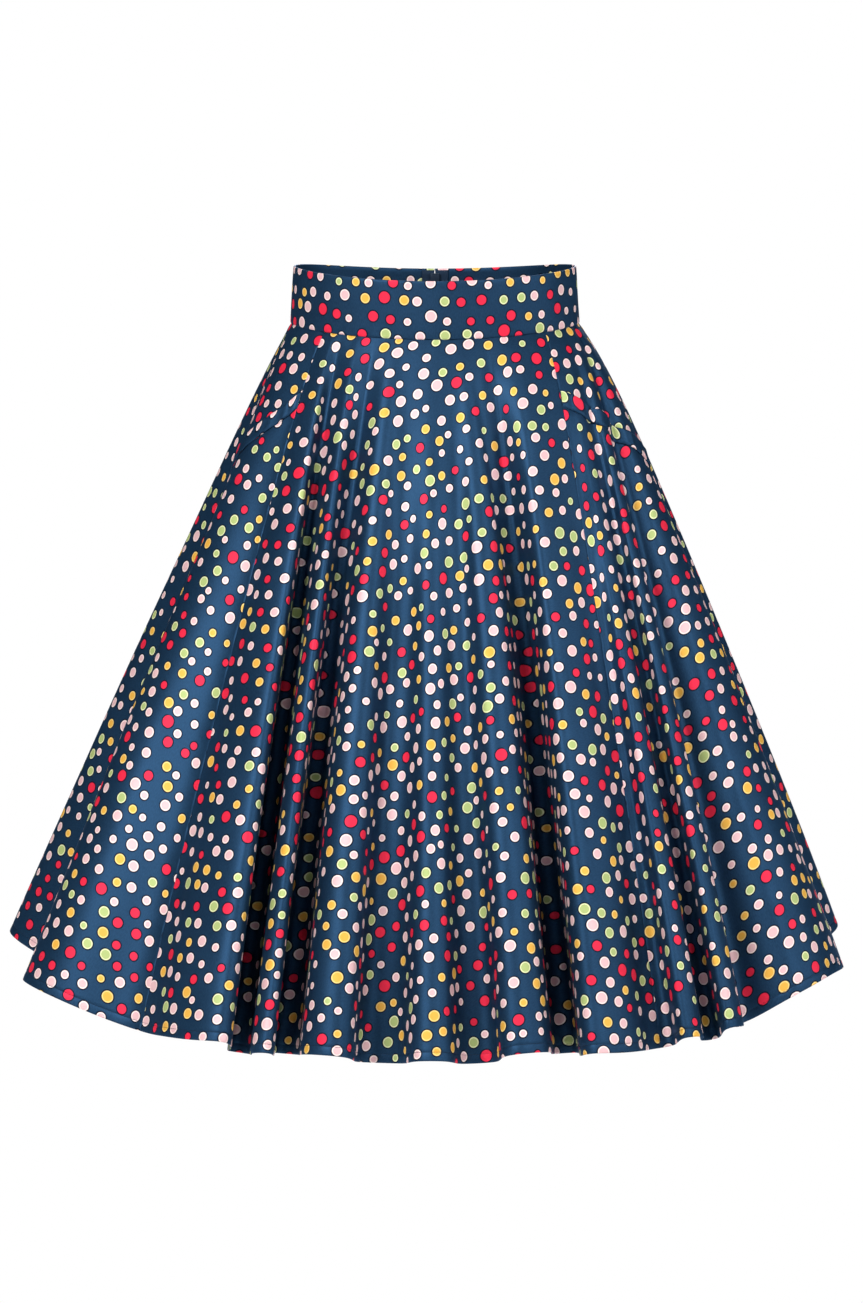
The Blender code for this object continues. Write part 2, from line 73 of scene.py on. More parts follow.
# %% Camera
CAMERA_PLACE = (-0.003, -4.2, 0.33)
CAMERA_DOWN = math.radians(9.11)
CAMERA_LENS = 132

bpy.ops.object.camera_add(location=CAMERA_PLACE, rotation=(math.pi / 2 - CAMERA_DOWN, 0, 0))
camera = bpy.context.object
camera.name = "camera"
camera.data.lens = CAMERA_LENS
bpy.context.scene.camera = camera
bpy.context.scene.view_settings.view_transform = "Standard"
print("camera at", CAMERA_PLACE, "with a lens of", CAMERA_LENS, "mm")

# %% A wide plain floor
FLOOR_LEVEL, FLOOR_WIDTH = -0.95, 60.0

bpy.ops.object.select_all(action="DESELECT")
bpy.ops.mesh.primitive_plane_add(size=FLOOR_WIDTH, location=(0, 0, FLOOR_LEVEL))
floor = bpy.context.object
floor.name = "studio_floor"
bpy.ops.object.transform_apply(location=True, rotation=False, scale=False)
print("floor at", FLOOR_LEVEL, "m, far below the hem")

# %% Soft lights and a pale surround
Light = namedtuple("Light", "name size power colour place aim")
LIGHTS = [
    Light("key_left", 1.5, 216, (1.0, 0.98, 0.96), (-2.3, -3.2, 2.6), (0, 0, -0.35)),
    Light("key_right", 1.5, 108, (1.0, 0.98, 0.96), (2.4, -3.2, 2.3), (0, 0, -0.35)),
    Light("fill_front", 1.4, 2, (0.95, 0.97, 1.0), (0.2, -4.4, 0.1), (0, 0, 0.0)),
    Light("side_right", 1.4, 40, (0.97, 0.98, 1.0), (4.0, -0.9, 0.9), (0, 0, -0.35)),
    Light("top", 1.4, 8, (1.0, 1.0, 1.0), (-0.3, -0.6, 2.4), (0, 0, -0.3)),
    Light("back", 2.2, 80, (1.0, 1.0, 1.0), (0.3, 4.0, 1.4), (0, 0, -0.35)),
]
SURROUND = 0.02

for light in LIGHTS:
    bpy.ops.object.light_add(type="AREA", location=light.place)
    lamp = bpy.context.object
    lamp.name = light.name
    lamp.data.size = light.size
    lamp.data.energy = light.power
    lamp.data.color = light.colour
    towards = [aim - place for aim, place in zip(light.aim, light.place)]
    across = math.hypot(towards[0], towards[1])
    lamp.rotation_euler = (math.atan2(across, -towards[2]), 0, math.atan2(-towards[0], towards[1]))

world = bpy.data.worlds.new("studio")
bpy.context.scene.world = world
world.use_nodes = True
tree = world.node_tree
seen = tree.nodes.new("ShaderNodeLightPath")
brightness = tree.nodes.new("ShaderNodeMapRange")
brightness.inputs["To Min"].default_value = SURROUND
brightness.inputs["To Max"].default_value = 1.0
tree.links.new(seen.outputs["Is Camera Ray"], brightness.inputs["Value"])
tree.links.new(brightness.outputs["Result"], tree.nodes["Background"].inputs["Strength"])
tree.nodes["Background"].inputs["Color"].default_value = (1, 1, 1, 1)
print(len(LIGHTS), "lights")

# %% [markdown]
# ## The worn form
# A circle skirt's panels are sectors of a ring. Worn, the waist edge lies on an oval and the hem falls
# into flutes. Cloth that neither stretches nor bends twice runs in nearly straight lines from the
# waist seam to the hem, so the whole form follows from one folded hem line. Each ridge and valley of
# that line is one row of a table, the same rows that the solids are made from, so the fine cloth lies
# close to the middle of their walls. Only the cloth's length at the three deep valleys and the ridges
# beside them differs, by up to 10 mm, which keeps the hem level across them.

# %% Sizes of the garment and of its folds
WAIST_HALF_WIDTH, WAIST_HALF_DEPTH = 0.1232, 0.0940
SEAM_HALF_WIDTH, SEAM_HALF_DEPTH = 0.1262, 0.0975
BAND_HEIGHT = 0.050
SKIRT_LENGTH = 0.607
FRONT_DIP, BACK_DIP = 0.006, 0.010
HIP_ROUND, HIP_ROUND_TO_RIGHT = 0.050, 0.014
HIP_REACH, HIP_FADE = 0.080, 3

# across and forward place a fold's rounded tip at the hem and tip is its width, in millimetres. longer
# is cloth beyond SKIRT_LENGTH, growth is 1 where the fold starts at the waist and more where it starts
# lower, and waist is where it meets the waist seam, round from the centre front, if that is set.
Fold = namedtuple("Fold", "name across forward tip longer growth waist", defaults=(None,))
FOLDS = [
    Fold("side_left", -318, 80, 30, 0, 1.2, -172),
    Fold("left_hip_ridge", -338, 206, 64, 12, 1.2),
    Fold("princess_left", -252, 262, 34, 20, 1.2, -103),
    Fold("left_broad_ridge", -199, 318, 60, 26, 1.0),
    Fold("left_deep_valley", -166, 252, 16, 18, 0.95, -85.5),
    Fold("left_narrow_ridge", -144, 328, 15, 26, 0.95),
    Fold("left_second_valley", -127, 258, 17, 12, 0.95, -52),
    Fold("left_front_ridge", -90, 334, 34, 21, 1.0, -35),
    Fold("left_soft_valley", -46, 292, 30, 16, 1.8),
    Fold("centre_ridge", -3, 334, 26, 20, 1.8),
    Fold("right_soft_valley", 37, 299, 24, 17, 1.8),
    Fold("right_front_ridge", 76, 332, 34, 17, 1.2),
    Fold("right_deep_valley", 110, 250, 16, 10, 0.9, 44),
    Fold("right_wide_ridge", 148, 324, 44, 27, 1.0, 69),
    Fold("princess_right", 190, 284, 22, 24, 1.6, 107.5),
    Fold("right_low_ridge", 216, 304, 20, 27, 1.6),
    Fold("right_hip_valley", 232, 262, 16, 28, 1.0),
    Fold("right_narrow_ridge", 252, 284, 20, 30, 1.0),
    Fold("right_side_valley", 262, 226, 18, 24, 0.95, 152),
    Fold("right_hip_ridge", 330, 184, 104, 4, 1.2),
    Fold("side_right", 318, 20, 24, 0, 1.2, 172),
    Fold("back_ridge_1", 360, -60, 40, 0, 1.2),
    Fold("back_valley_1", 294, -112, 26, 6, 1.0),
    Fold("back_ridge_2", 314, -205, 40, 8, 1.0),
    Fold("back_valley_2", 232, -212, 26, 10, 1.0),
    Fold("back_ridge_3", 222, -300, 38, 12, 1.0),
    Fold("back_valley_3", 144, -268, 28, 12, 1.4),
    Fold("back_ridge_4", 112, -338, 38, 12, 1.0),
    Fold("back_valley_4", 60, -276, 26, 12, 1.0),
    Fold("back_ridge_5", 34, -340, 28, 12, 1.4),
    Fold("centre_back", 0, -292, 24, 12, 1.4, 353),
    Fold("back_ridge_6", -38, -340, 30, 12, 1.4),
    Fold("back_valley_6", -72, -278, 24, 12, 1.0),
    Fold("back_ridge_7", -122, -336, 40, 12, 1.0),
    Fold("back_valley_7", -150, -264, 26, 12, 1.4),
    Fold("back_ridge_8", -226, -298, 40, 12, 1.0),
    Fold("back_valley_8", -234, -206, 26, 10, 1.0),
    Fold("back_ridge_9", -318, -196, 42, 8, 1.0),
    Fold("back_valley_9", -298, -104, 26, 4, 1.0),
    Fold("back_ridge_10", -376, -10, 44, 0, 1.2),
]
print(len(FOLDS), "ridges and valleys")

# %% Helpers for soft bumps, directions and values that run round a closed loop
LOOP_STEPS = 4096


def bell(distance, reach):
    """1 at no distance, and almost nothing two reaches away."""
    return np.exp(-((distance / reach) ** 2))


def unit(vectors):
    """The vectors' directions."""
    return vectors / np.linalg.norm(vectors, axis=-1, keepdims=True)


def round_loop(values, at, arcs, length):
    """Values known at rising places on a closed loop, read at other places on it."""
    places = np.concatenate([at - length, at, at + length])
    known = np.concatenate([values, values, values])
    return np.interp(np.mod(arcs, length), places, known)


def smoothed_round(values, reach, length):
    """Values along a closed loop, blurred with a bell curve of this reach."""
    waves = np.fft.rfftfreq(len(values), length / len(values))
    kept = np.exp(-2 * (math.pi * waves * reach) ** 2)
    spectrum = np.fft.rfft(values, axis=0)
    kept = kept.reshape(-1, *[1] * (spectrum.ndim - 1))
    return np.fft.irfft(spectrum * kept, len(values), axis=0)


def loop_length(points):
    """The running length along a closed loop, its whole length last."""
    steps = np.linalg.norm(np.roll(points, -1, axis=0) - points, axis=1)
    return np.concatenate([[0.0], np.cumsum(steps)])


def closed_curve(points, places, length, at):
    """A periodic cubic spline through points at rising places on a loop, read elsewhere."""
    count = len(points)
    step = np.diff(np.append(places, length))
    before = np.roll(step, 1)
    slopes = (np.roll(points, -1, axis=0) - points) / step[:, None]
    rows = np.arange(count)
    system = np.zeros((count, count))
    system[rows, rows] = 2 * (before + step)
    system[rows, rows - 1] += before
    system[rows, (rows + 1) % count] += step
    bends = np.linalg.solve(system, 6 * (slopes - np.roll(slopes, 1, axis=0)))
    first = np.searchsorted(places, at, side="right") - 1
    after = (first + 1) % count
    here = (at - places[first])[:, None]
    there = (places[first] + step[first] - at)[:, None]
    width = step[first][:, None]
    straight = (points[first] * there + points[after] * here) / width
    lift = bends[first] * (there**3 / width - there * width)
    lift += bends[after] * (here**3 / width - here * width)
    return straight + lift / 6


# %% The hem line seen from above
EVEN_PACE = 0.6
BASE_ROUNDING, FOLD_ROUNDING, LEAD_ROUNDING = 160 * MM, 20 * MM, 25 * MM

tips = []
for fold in FOLDS:
    bearing = math.atan2(fold.across, fold.forward)
    along_tip = np.array([math.cos(bearing), -math.sin(bearing)])
    middle = np.array([fold.across, fold.forward])
    tips.append(middle - along_tip * fold.tip / 2)
    tips.append(middle + along_tip * fold.tip / 2)
tips = np.array(tips) * MM
tip_at = np.concatenate([[0.0], np.cumsum(np.diff(loop_length(tips)) ** EVEN_PACE)])
even = np.linspace(0.0, tip_at[-1], LOOP_STEPS, endpoint=False)
curve = closed_curve(tips, tip_at[:-1], tip_at[-1], even)
curve_at = loop_length(curve)
HEM = curve_at[-1]
loop_arcs = np.linspace(0.0, HEM, LOOP_STEPS, endpoint=False)
hem_line = np.stack([round_loop(curve[:, axis], curve_at[:-1], loop_arcs, HEM) for axis in (0, 1)], axis=1)
base_line = smoothed_round(hem_line, BASE_ROUNDING, HEM)
fold_places = np.interp((tip_at[0:-1:2] + tip_at[1::2]) / 2, even, curve_at[:-1])
PLACE = {fold.name: place for fold, place in zip(FOLDS, fold_places)}
print(f"the hem is {HEM:.3f} m round")

# %% Where each place on the hem hangs from, and how long and how folded its cloth is
fold_longer = round_loop(np.array([fold.longer for fold in FOLDS]) * MM, fold_places, loop_arcs, HEM)
fold_growth = round_loop(np.array([fold.growth for fold in FOLDS]), fold_places, loop_arcs, HEM)
fold_longer = smoothed_round(fold_longer, FOLD_ROUNDING, HEM)
fold_growth = smoothed_round(fold_growth, FOLD_ROUNDING, HEM)

oval_angles = np.linspace(-math.pi, math.pi, LOOP_STEPS + 1)
oval = np.stack([SEAM_HALF_WIDTH * np.sin(oval_angles), SEAM_HALF_DEPTH * np.cos(oval_angles)], axis=1)
oval_arcs = np.concatenate([[0.0], np.cumsum(np.linalg.norm(np.diff(oval, axis=0), axis=1))])
oval_arcs -= np.interp(0.0, oval_angles, oval_arcs)
WAIST = oval_arcs[-1] - oval_arcs[0]

held = [fold for fold in FOLDS if fold.waist is not None]
held_at = np.array([PLACE[fold.name] for fold in held])
held_lead = np.array([fold.waist for fold in held]) * MM - held_at * WAIST / HEM
waist_lead = smoothed_round(round_loop(held_lead, held_at, loop_arcs, HEM), LEAD_ROUNDING, HEM)
print(f"the waist seam is {WAIST:.3f} m round")

# %% The straight lines of cloth, read at any depth
LINE_STEPS = 160
LEAST_FALL = 0.3


def on_hem(values, arcs):
    """Values or points known all along the hem, read at these places on it."""
    if values.ndim == 2:
        return np.stack([on_hem(values[:, axis], arcs) for axis in (0, 1)], axis=1)
    return round_loop(values, loop_arcs, arcs, HEM)


def waist_arc(arcs):
    """How far round the waist seam from the centre front this place on the hem hangs from."""
    return np.mod(arcs, HEM) * WAIST / HEM + on_hem(waist_lead, arcs)


def panel_length(arcs):
    """The length of the cloth from the waist seam to the hem."""
    return SKIRT_LENGTH + on_hem(fold_longer, arcs)


def cloth_points(arcs, down):
    """Points of the cloth: arcs are places along the hem, and down[place, row] is measured from the
    top edge of the waistband. Each line is summed once from the waist seam to the hem."""
    wrapped = np.mod(waist_arc(arcs) - oval_arcs[0], WAIST) + oval_arcs[0]
    angle = np.interp(wrapped, oval_arcs, oval_angles)
    facing = np.cos(angle)
    around = np.stack([np.sin(angle), facing], axis=1)
    seam = around * [SEAM_HALF_WIDTH, SEAM_HALF_DEPTH]
    top = around * [WAIST_HALF_WIDTH, WAIST_HALF_DEPTH]
    part = np.linspace(0.0, 1.0, LINE_STEPS + 1)[None, :]
    hip = HIP_ROUND + HIP_ROUND_TO_RIGHT * np.sin(angle)[:, None]
    flare = part + hip * (1 - np.exp(-part / HIP_REACH)) * (1 - part**HIP_FADE)
    grown = part ** on_hem(fold_growth, arcs)[:, None]
    hem, base = on_hem(hem_line, arcs), on_hem(base_line, arcs)
    path = seam[:, None, :] + (base - seam)[:, None, :] * flare[..., None]
    path = path + (hem - base)[:, None, :] * grown[..., None]
    along = (panel_length(arcs) / LINE_STEPS)[:, None]
    sideways = np.linalg.norm(np.diff(path, axis=1), axis=2)
    fall = np.sqrt(np.maximum(along**2 - sideways**2, (LEAST_FALL * along) ** 2))
    fall = np.concatenate([np.zeros((len(arcs), 1)), np.cumsum(fall, axis=1)], axis=1)
    share = np.clip((down - BAND_HEIGHT) / panel_length(arcs)[:, None], 0.0, 1.0)
    in_band = np.clip(down / BAND_HEIGHT, 0.0, 1.0)[..., None]
    points = np.empty((*down.shape, 3))
    for place in range(len(arcs)):
        for axis, line in enumerate((path[place, :, 0], path[place, :, 1], fall[place])):
            points[place, :, axis] = np.interp(share[place], part[0], line)
    points[..., :2] += (top - seam)[:, None, :] * (1 - in_band)
    dip = np.where(facing > 0, FRONT_DIP, BACK_DIP) * facing**2
    points[..., 2] = -points[..., 2] - dip[:, None] - BAND_HEIGHT * in_band[..., 0]
    points[..., 1] *= -1
    return points


def cloth_normals(arcs, down):
    """Unit normals of the cloth, away from the wearer."""
    length = BAND_HEIGHT + panel_length(arcs)[:, None]
    lower, higher = np.minimum(down + MM, length), np.maximum(down - MM, 0.0)
    down_it = cloth_points(arcs, lower) - cloth_points(arcs, higher)
    round_it = cloth_points(arcs + MM, down) - cloth_points(arcs - MM, down)
    return unit(np.cross(down_it, round_it))


check = cloth_points(np.array([PLACE["centre_ridge"]]), np.array([[0.0, BAND_HEIGHT, 1.0]]))
print("centre front at the top, the seam and the hem:", np.round(check[0], 3).tolist())

# %% [markdown]
# ## The flat cut and its print
# A pattern on cloth has to lie as it was printed, before the cloth was sewn. Each panel is therefore
# laid flat as the sector it was cut from, and that flat place, in metres, becomes its UV map. The
# grain is turned a little differently on each panel, as the cutter laid them, which is why the dots
# of two neighbours never line up at a seam.


# %% Flat places of a panel
def flat_panel(arcs, down):
    """Where each point of a panel lay in the flat cut: lines from the waist arc to the hem arc."""
    waist = np.unwrap(waist_arc(arcs), period=WAIST)
    waist_width, hem_width = waist[-1] - waist[0], arcs[-1] - arcs[0]
    length = float(np.mean(panel_length(arcs)))
    fan = (hem_width - waist_width) / length
    radius = waist_width / fan
    from_waist = (waist - (waist[0] + waist[-1]) / 2)[:, None] / radius
    from_hem = (arcs - (arcs[0] + arcs[-1]) / 2)[:, None] / (radius + length)
    share = (down - BAND_HEIGHT) / panel_length(arcs)[:, None]
    across = (1 - share) * radius * np.sin(from_waist) + share * (radius + length) * np.sin(from_hem)
    up = (1 - share) * radius * np.cos(from_waist) + share * (radius + length) * np.cos(from_hem)
    return np.stack([across, -up], axis=-1)


def turned(flat, degrees):
    """A flat cut laid at an angle to the grain."""
    turn = math.radians(degrees)
    rotation = np.array([[math.cos(turn), -math.sin(turn)], [math.sin(turn), math.cos(turn)]])
    return flat @ rotation.T


# %% [markdown]
# ## A fine sheet of cloth
# Every piece starts as Blender's grid, with a corner for each place along the hem and each depth. The
# corners are moved on to the form, its UV map takes the flat cut, and Solidify gives it the thickness
# of sateen. It has two material slots from the start, so that Solidify can give the inner side the
# second one, for the duller reverse of the cloth.

# %% From grid to sheet
SATEEN = 0.5 * MM


def cloth_sheet(name, points, flat, thickness=SATEEN):
    """A grid moved on to points[column, row], with its flat cut as its UV map and a real thickness."""
    columns, rows = points.shape[0] - 1, points.shape[1] - 1
    bpy.ops.object.select_all(action="DESELECT")
    bpy.ops.mesh.primitive_grid_add(x_subdivisions=columns, y_subdivisions=rows, size=1.0)
    sheet = bpy.context.object
    sheet.name = sheet.data.name = name
    corners = np.empty(len(sheet.data.vertices) * 3)
    sheet.data.vertices.foreach_get("co", corners)
    corners = corners.reshape(-1, 3)
    column = np.rint((corners[:, 0] + 0.5) * columns).astype(int)
    row = np.rint((0.5 - corners[:, 1]) * rows).astype(int)
    sheet.data.vertices.foreach_set("co", points[column, row].ravel())
    corner_of = np.empty(len(sheet.data.loops), dtype=np.int32)
    sheet.data.loops.foreach_get("vertex_index", corner_of)
    flat_places = flat[column, row][corner_of]
    sheet.data.uv_layers[0].data.foreach_set("uv", flat_places.ravel())
    sheet.data.materials.append(None)
    sheet.data.materials.append(None)
    wall = sheet.modifiers.new("Thickness", "SOLIDIFY")
    wall.thickness = thickness
    wall.offset = -1.0
    wall.material_offset = 1
    bpy.ops.object.modifier_apply(modifier=wall.name)
    sheet.data.shade_smooth()
    return sheet


def dressed(node, points, flat, grain=0):
    """A sheet that rides on the skirt, stands for its solid and says how it was cut."""
    sheet = cloth_sheet(node + "_cloth", points, turned(flat, grain))
    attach(sheet, "root")
    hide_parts(node)


# %% [markdown]
# ## Creases and puckers
# Sateen holds a few soft creases from folding and handling, and it draws up a little where a seam is
# sewn on the slant. The creases are listed one by one: each row names the fold that it lies beside, how
# far from it at the hem, where it starts and ends below the waist seam, its width, its height and
# how far it leans sideways on its way down, all in millimetres. Puckers are short ripples square to a
# seam that die out within a finger's width of it.

# %% Creases
CREASE_FADE = 1.4
Crease = namedtuple("Crease", "beside offset start end width lift lean")
CREASES = [
    Crease("left_hip_ridge", -40, 180, 560, 16, 1.2, 14),
    Crease("left_hip_ridge", 48, 300, 600, 10, -0.8, -8),
    Crease("left_broad_ridge", 22, 420, 610, 5, -0.5, 10),
    Crease("left_broad_ridge", -26, 120, 380, 14, 0.5, 6),
    Crease("left_front_ridge", 20, 60, 330, 15, -0.5, -6),
    Crease("left_soft_valley", 8, 150, 420, 20, -1.0, 8),
    Crease("centre_ridge", -24, 90, 300, 18, 0.4, 5),
    Crease("centre_ridge", 12, 330, 590, 12, -0.7, -7),
    Crease("right_soft_valley", 10, 110, 360, 22, -0.9, -10),
    Crease("right_front_ridge", -6, 330, 560, 12, 0.5, 6),
    Crease("right_wide_ridge", 10, 80, 300, 14, -0.5, 8),
    Crease("right_wide_ridge", -12, 360, 590, 12, 0.9, -6),
    Crease("right_hip_ridge", -70, 160, 480, 12, 1.0, 10),
    Crease("right_hip_ridge", -28, 260, 600, 15, -1.2, 12),
    Crease("right_hip_ridge", 20, 120, 420, 11, 0.9, -9),
    Crease("right_hip_ridge", 58, 330, 590, 13, -1.0, 8),
    Crease("left_deep_valley", 0, 20, 800, 7, -3.0, 0),
    Crease("left_second_valley", 1, 10, 760, 7, -3.0, 0),
    Crease("right_deep_valley", 0, 20, 840, 7, -3.4, 0),
    Crease("right_deep_valley", -47, -30, 300, 8, -2.2, -36),
    Crease("back_ridge_1", 14, 200, 520, 12, -0.9, 7),
    Crease("back_ridge_2", -16, 120, 430, 14, 1.1, -8),
    Crease("back_ridge_3", 12, 300, 580, 10, -0.9, 9),
    Crease("back_ridge_4", -8, 90, 330, 12, 0.9, 6),
    Crease("back_ridge_5", 10, 260, 520, 9, -0.7, -6),
    Crease("back_ridge_6", -12, 180, 440, 10, 0.8, 8),
    Crease("back_ridge_7", 14, 330, 600, 13, -1.1, -7),
    Crease("back_ridge_8", -10, 110, 400, 12, 0.9, 9),
    Crease("back_ridge_9", 16, 240, 560, 14, -1.0, 6),
    Crease("back_ridge_10", -18, 150, 470, 13, 1.0, -8),
]


def crease_lift(arcs, down):
    """How far the creases move the cloth out. Widths are real ones, at the crease's middle."""
    lift = np.zeros(down.shape)
    for crease in CREASES:
        start, end = crease.start * MM + BAND_HEIGHT, crease.end * MM + BAND_HEIGHT
        share = (down - start) / (end - start)
        fade = np.sin(np.clip(share, 0, 1) * math.pi) ** CREASE_FADE
        middle = ((start + end) / 2 - BAND_HEIGHT) / SKIRT_LENGTH
        stretch = WAIST / HEM + (1 - WAIST / HEM) * middle
        place = PLACE[crease.beside] + crease.offset * MM
        way = (np.mod(arcs - place + HEM / 2, HEM) - HEM / 2)[:, None] * stretch
        way = way + crease.lean * MM * (share - 0.5)
        lift += crease.lift * MM * bell(way, crease.width * MM) * fade
    return lift


# %% Puckers along a seam
PUCKER_HEIGHT, PUCKER_REACH = 0.35 * MM, 11 * MM
PUCKER_WAVES = ((17 * MM, 0.0, 0.5), (29 * MM, 1.3, 0.6), (11 * MM, 2.1, 0.25))
SEAM_ROLL, SEAM_ROLL_REACH = 0.32 * MM, 0.7 * MM
SEAM_VARIETY = 40


def ripple(along, start):
    """An uneven ripple along a seam, from three waves that never come round together."""
    turns = 2 * math.pi * along
    return sum(share * np.sin(turns / wave + phase + start) for wave, phase, share in PUCKER_WAVES)


def edge_distances(points):
    """How far each point of a sheet lies from its first and its last column, along its row."""
    steps = np.linalg.norm(np.diff(points, axis=0), axis=2)
    run = np.concatenate([np.zeros((1, points.shape[1])), np.cumsum(steps, axis=0)])
    return run, run[-1] - run


def seam_shape(distance, along, start):
    """The roll of the cloth into a seam, and puckers beside it that start differently at each seam."""
    roll = bell(distance, SEAM_ROLL_REACH)
    pucker = PUCKER_HEIGHT * ripple(along, start * SEAM_VARIETY) * bell(distance, PUCKER_REACH)
    return pucker * (1 - roll) - SEAM_ROLL * roll


# %% [markdown]
# ## The hem
# A circle's edge can't be turned up deep, so this hem is 7.6 mm, folded under and stitched once. The
# sheet runs on round the fold and up the inside, so the hem has a real fold and a real inner layer.
# The stitches pull a shallow groove into the face and leave faint ripples between it and the fold.

# %% Rows of a panel, from its top edge round the hem's fold
HEM_TURN = 7.6 * MM

# up is measured from the hem's edge, out from the form, and onward is the way round the fold.
Row = namedtuple("Row", "up out onward")
HEM_ROWS = [
    Row(14.0, 0.0, 0.0),
    Row(10.5, 0.0, 0.0),
    Row(8.8, 0.0, 0.0),
    Row(8.1, -0.16, 0.0),
    Row(7.6, -0.28, 0.0),
    Row(7.1, -0.14, 0.0),
    Row(6.2, 0.04, 0.0),
    Row(4.0, 0.06, 0.0),
    Row(1.8, 0.05, 0.0),
    Row(0.6, -0.02, 0.0),
    Row(0.15, -0.20, 0.0),
    Row(0.0, -0.50, 0.4),
    Row(0.3, -0.92, 1.0),
    Row(1.6, -1.10, 2.2),
    Row(4.5, -1.12, 5.0),
    Row(8.0, -1.08, 8.4),
    Row(8.3, -0.80, 8.8),
]
ROW_STEP = 5.0 * MM
TOP_ROWS = np.array([0.0, 0.4, 1.0, 1.8, 3.0, 5.0, 8.0]) * MM
HEM_RIPPLE, HEM_RIPPLE_LENGTH, HEM_RIPPLE_SLANT = 0.12 * MM, 9 * MM, 1.2


def panel_rows(arcs, top):
    """down, out and flat depth of every row of a panel whose upper edge is at top[place]."""
    hem = BAND_HEIGHT + panel_length(arcs)
    body_end = hem - HEM_ROWS[0].up * MM
    body_start = top + TOP_ROWS[-1]
    count = max(2, int(round(float(np.mean(body_end - body_start)) / ROW_STEP)))
    share = np.linspace(0.0, 1.0, count + 1)[1:-1]
    body = body_start[:, None] + (body_end - body_start)[:, None] * share
    turn = np.array(HEM_ROWS) * MM
    down = np.concatenate([top[:, None] + TOP_ROWS, body, hem[:, None] - turn[:, 0]], axis=1)
    out = np.concatenate([np.zeros(len(TOP_ROWS) + body.shape[1]), turn[:, 1]])
    onward = hem[:, None] - turn[:, 0] + np.where(turn[:, 2] > 0, turn[:, 0] + turn[:, 2], 0.0)
    flat_down = np.concatenate([down[:, : -len(HEM_ROWS)], onward], axis=1)
    return down, out[None, :], flat_down


def hem_ripples(arcs, down):
    """Faint slanted ripples between the hem's stitching and its fold."""
    up = BAND_HEIGHT + panel_length(arcs)[:, None] - down
    inside = bell(up - HEM_TURN * 0.55, HEM_TURN * 0.45)
    slanted = arcs[:, None] + up * HEM_RIPPLE_SLANT
    closer = PUCKER_WAVES[0][0] / HEM_RIPPLE_LENGTH
    return HEM_RIPPLE * inside * ripple(slanted * closer, 0.7)


# %% Columns of a panel, closer together beside its seams, with a turned-in allowance at each side
COLUMN_STEP = 3.3 * MM
EDGE_COLUMNS = np.array([0.0, 0.0, 0.4, 0.9, 1.7, 3.0, 4.6]) * MM
ALLOWANCE, ZIP_ALLOWANCE = 3.5 * MM, 1.1 * MM
ZIP_END, ZIP_FADE = 205 * MM, 15 * MM


def panel_columns(start, end):
    """The places of a panel's columns along the hem."""
    inner_start, inner_end = start + EDGE_COLUMNS[-1], end - EDGE_COLUMNS[-1]
    count = int(round((inner_end - inner_start) / COLUMN_STEP))
    inner = np.linspace(inner_start, inner_end, count + 1)[1:-1]
    return np.concatenate([start + EDGE_COLUMNS, inner, end - EDGE_COLUMNS[::-1]])


def turned_in(down, edges):
    """How far each column stands behind the face: the outermost ones are the seam allowances, which
    lie flatter beside the zip."""
    depth = np.zeros(down.shape)
    for column, edge in zip((0, -1), edges):
        depth[column] = -ALLOWANCE
        if edge == "centre_back":
            fade = [ZIP_END, ZIP_END + ZIP_FADE]
            depth[column] = np.interp(down[column], fade, [-ZIP_ALLOWANCE, -ALLOWANCE])
    return depth


def with_allowance(arcs):
    """The columns' places in the flat cut, where the allowances lie beside the panel."""
    cut = arcs.copy()
    cut[0] -= ALLOWANCE
    cut[-1] += ALLOWANCE
    return cut


# %% [markdown]
# ## Panels from the waist seam to the hem
# The front is one wide panel between two princess seams, and the back is two panels with the zip
# between them. Their upper edges tuck in under the waistband, and their sides roll into the seams.

# %% Long panels
WAIST_TUCK = 2.0 * MM
TUCK_DEPTH, TUCK_REACH = 0.3 * MM, 3.0 * MM
WAIST_PUCKER, WAIST_PUCKER_REACH = 0.25 * MM, 14 * MM
SEAM_CLEAR = 0.02 * MM
Panel = namedtuple("Panel", "name start end grain")
LONG_PANELS = [
    Panel("front_centre", "princess_left", "princess_right", 38),
    Panel("back_right", "side_right", "centre_back", -21),
    Panel("back_left", "centre_back", "side_left", 17),
]


def closed_up(points, clear=SEAM_CLEAR):
    """The sheet with its outer columns drawn in a hair, so that two panels meet without touching."""
    points = points.copy()
    for allowance, edge, inner in ((0, 1, 2), (-1, -2, -3)):
        step = unit(points[inner] - points[edge]) * clear
        points[edge] += step
        points[allowance] += step
    return points


def shaped(arcs, down, out, edges):
    """A panel's points with its creases, seams and hem pressed into the plain form."""
    plain = cloth_points(arcs, down)
    from_start, from_end = edge_distances(plain)
    from_top = down - down[:, :1]
    lift = out + turned_in(down, edges) + crease_lift(arcs, down) + hem_ripples(arcs, down)
    lift = lift + seam_shape(from_start, down, arcs[0]) + seam_shape(from_end, down, arcs[-1])
    lift = lift - TUCK_DEPTH * bell(from_top, TUCK_REACH)
    waist_run = np.unwrap(waist_arc(arcs), period=WAIST)[:, None]
    lift = lift + WAIST_PUCKER * ripple(waist_run, 0.4) * bell(from_top, WAIST_PUCKER_REACH)
    return closed_up(plain + cloth_normals(arcs, down) * lift[..., None])


for panel in LONG_PANELS:
    start, end = PLACE[panel.start], PLACE[panel.end]
    end += HEM if end < start else 0.0
    arcs = panel_columns(start, end)
    top = np.full(len(arcs), BAND_HEIGHT - WAIST_TUCK)
    down, out, flat_down = panel_rows(arcs, top)
    flat = flat_panel(with_allowance(arcs), flat_down)
    dressed(panel.name, shaped(arcs, down, out, (panel.start, panel.end)), flat, panel.grain)

# %% [markdown]
# ## Side fronts, hip pieces and pocket bands
# The pocket mouth is slanted. Below it lies the side front, above and behind it the hip piece, which
# is also the back wall of the pocket, and a folded band finishes the mouth and stands open a little.
# All three share the columns of the two seams that they are sewn into.

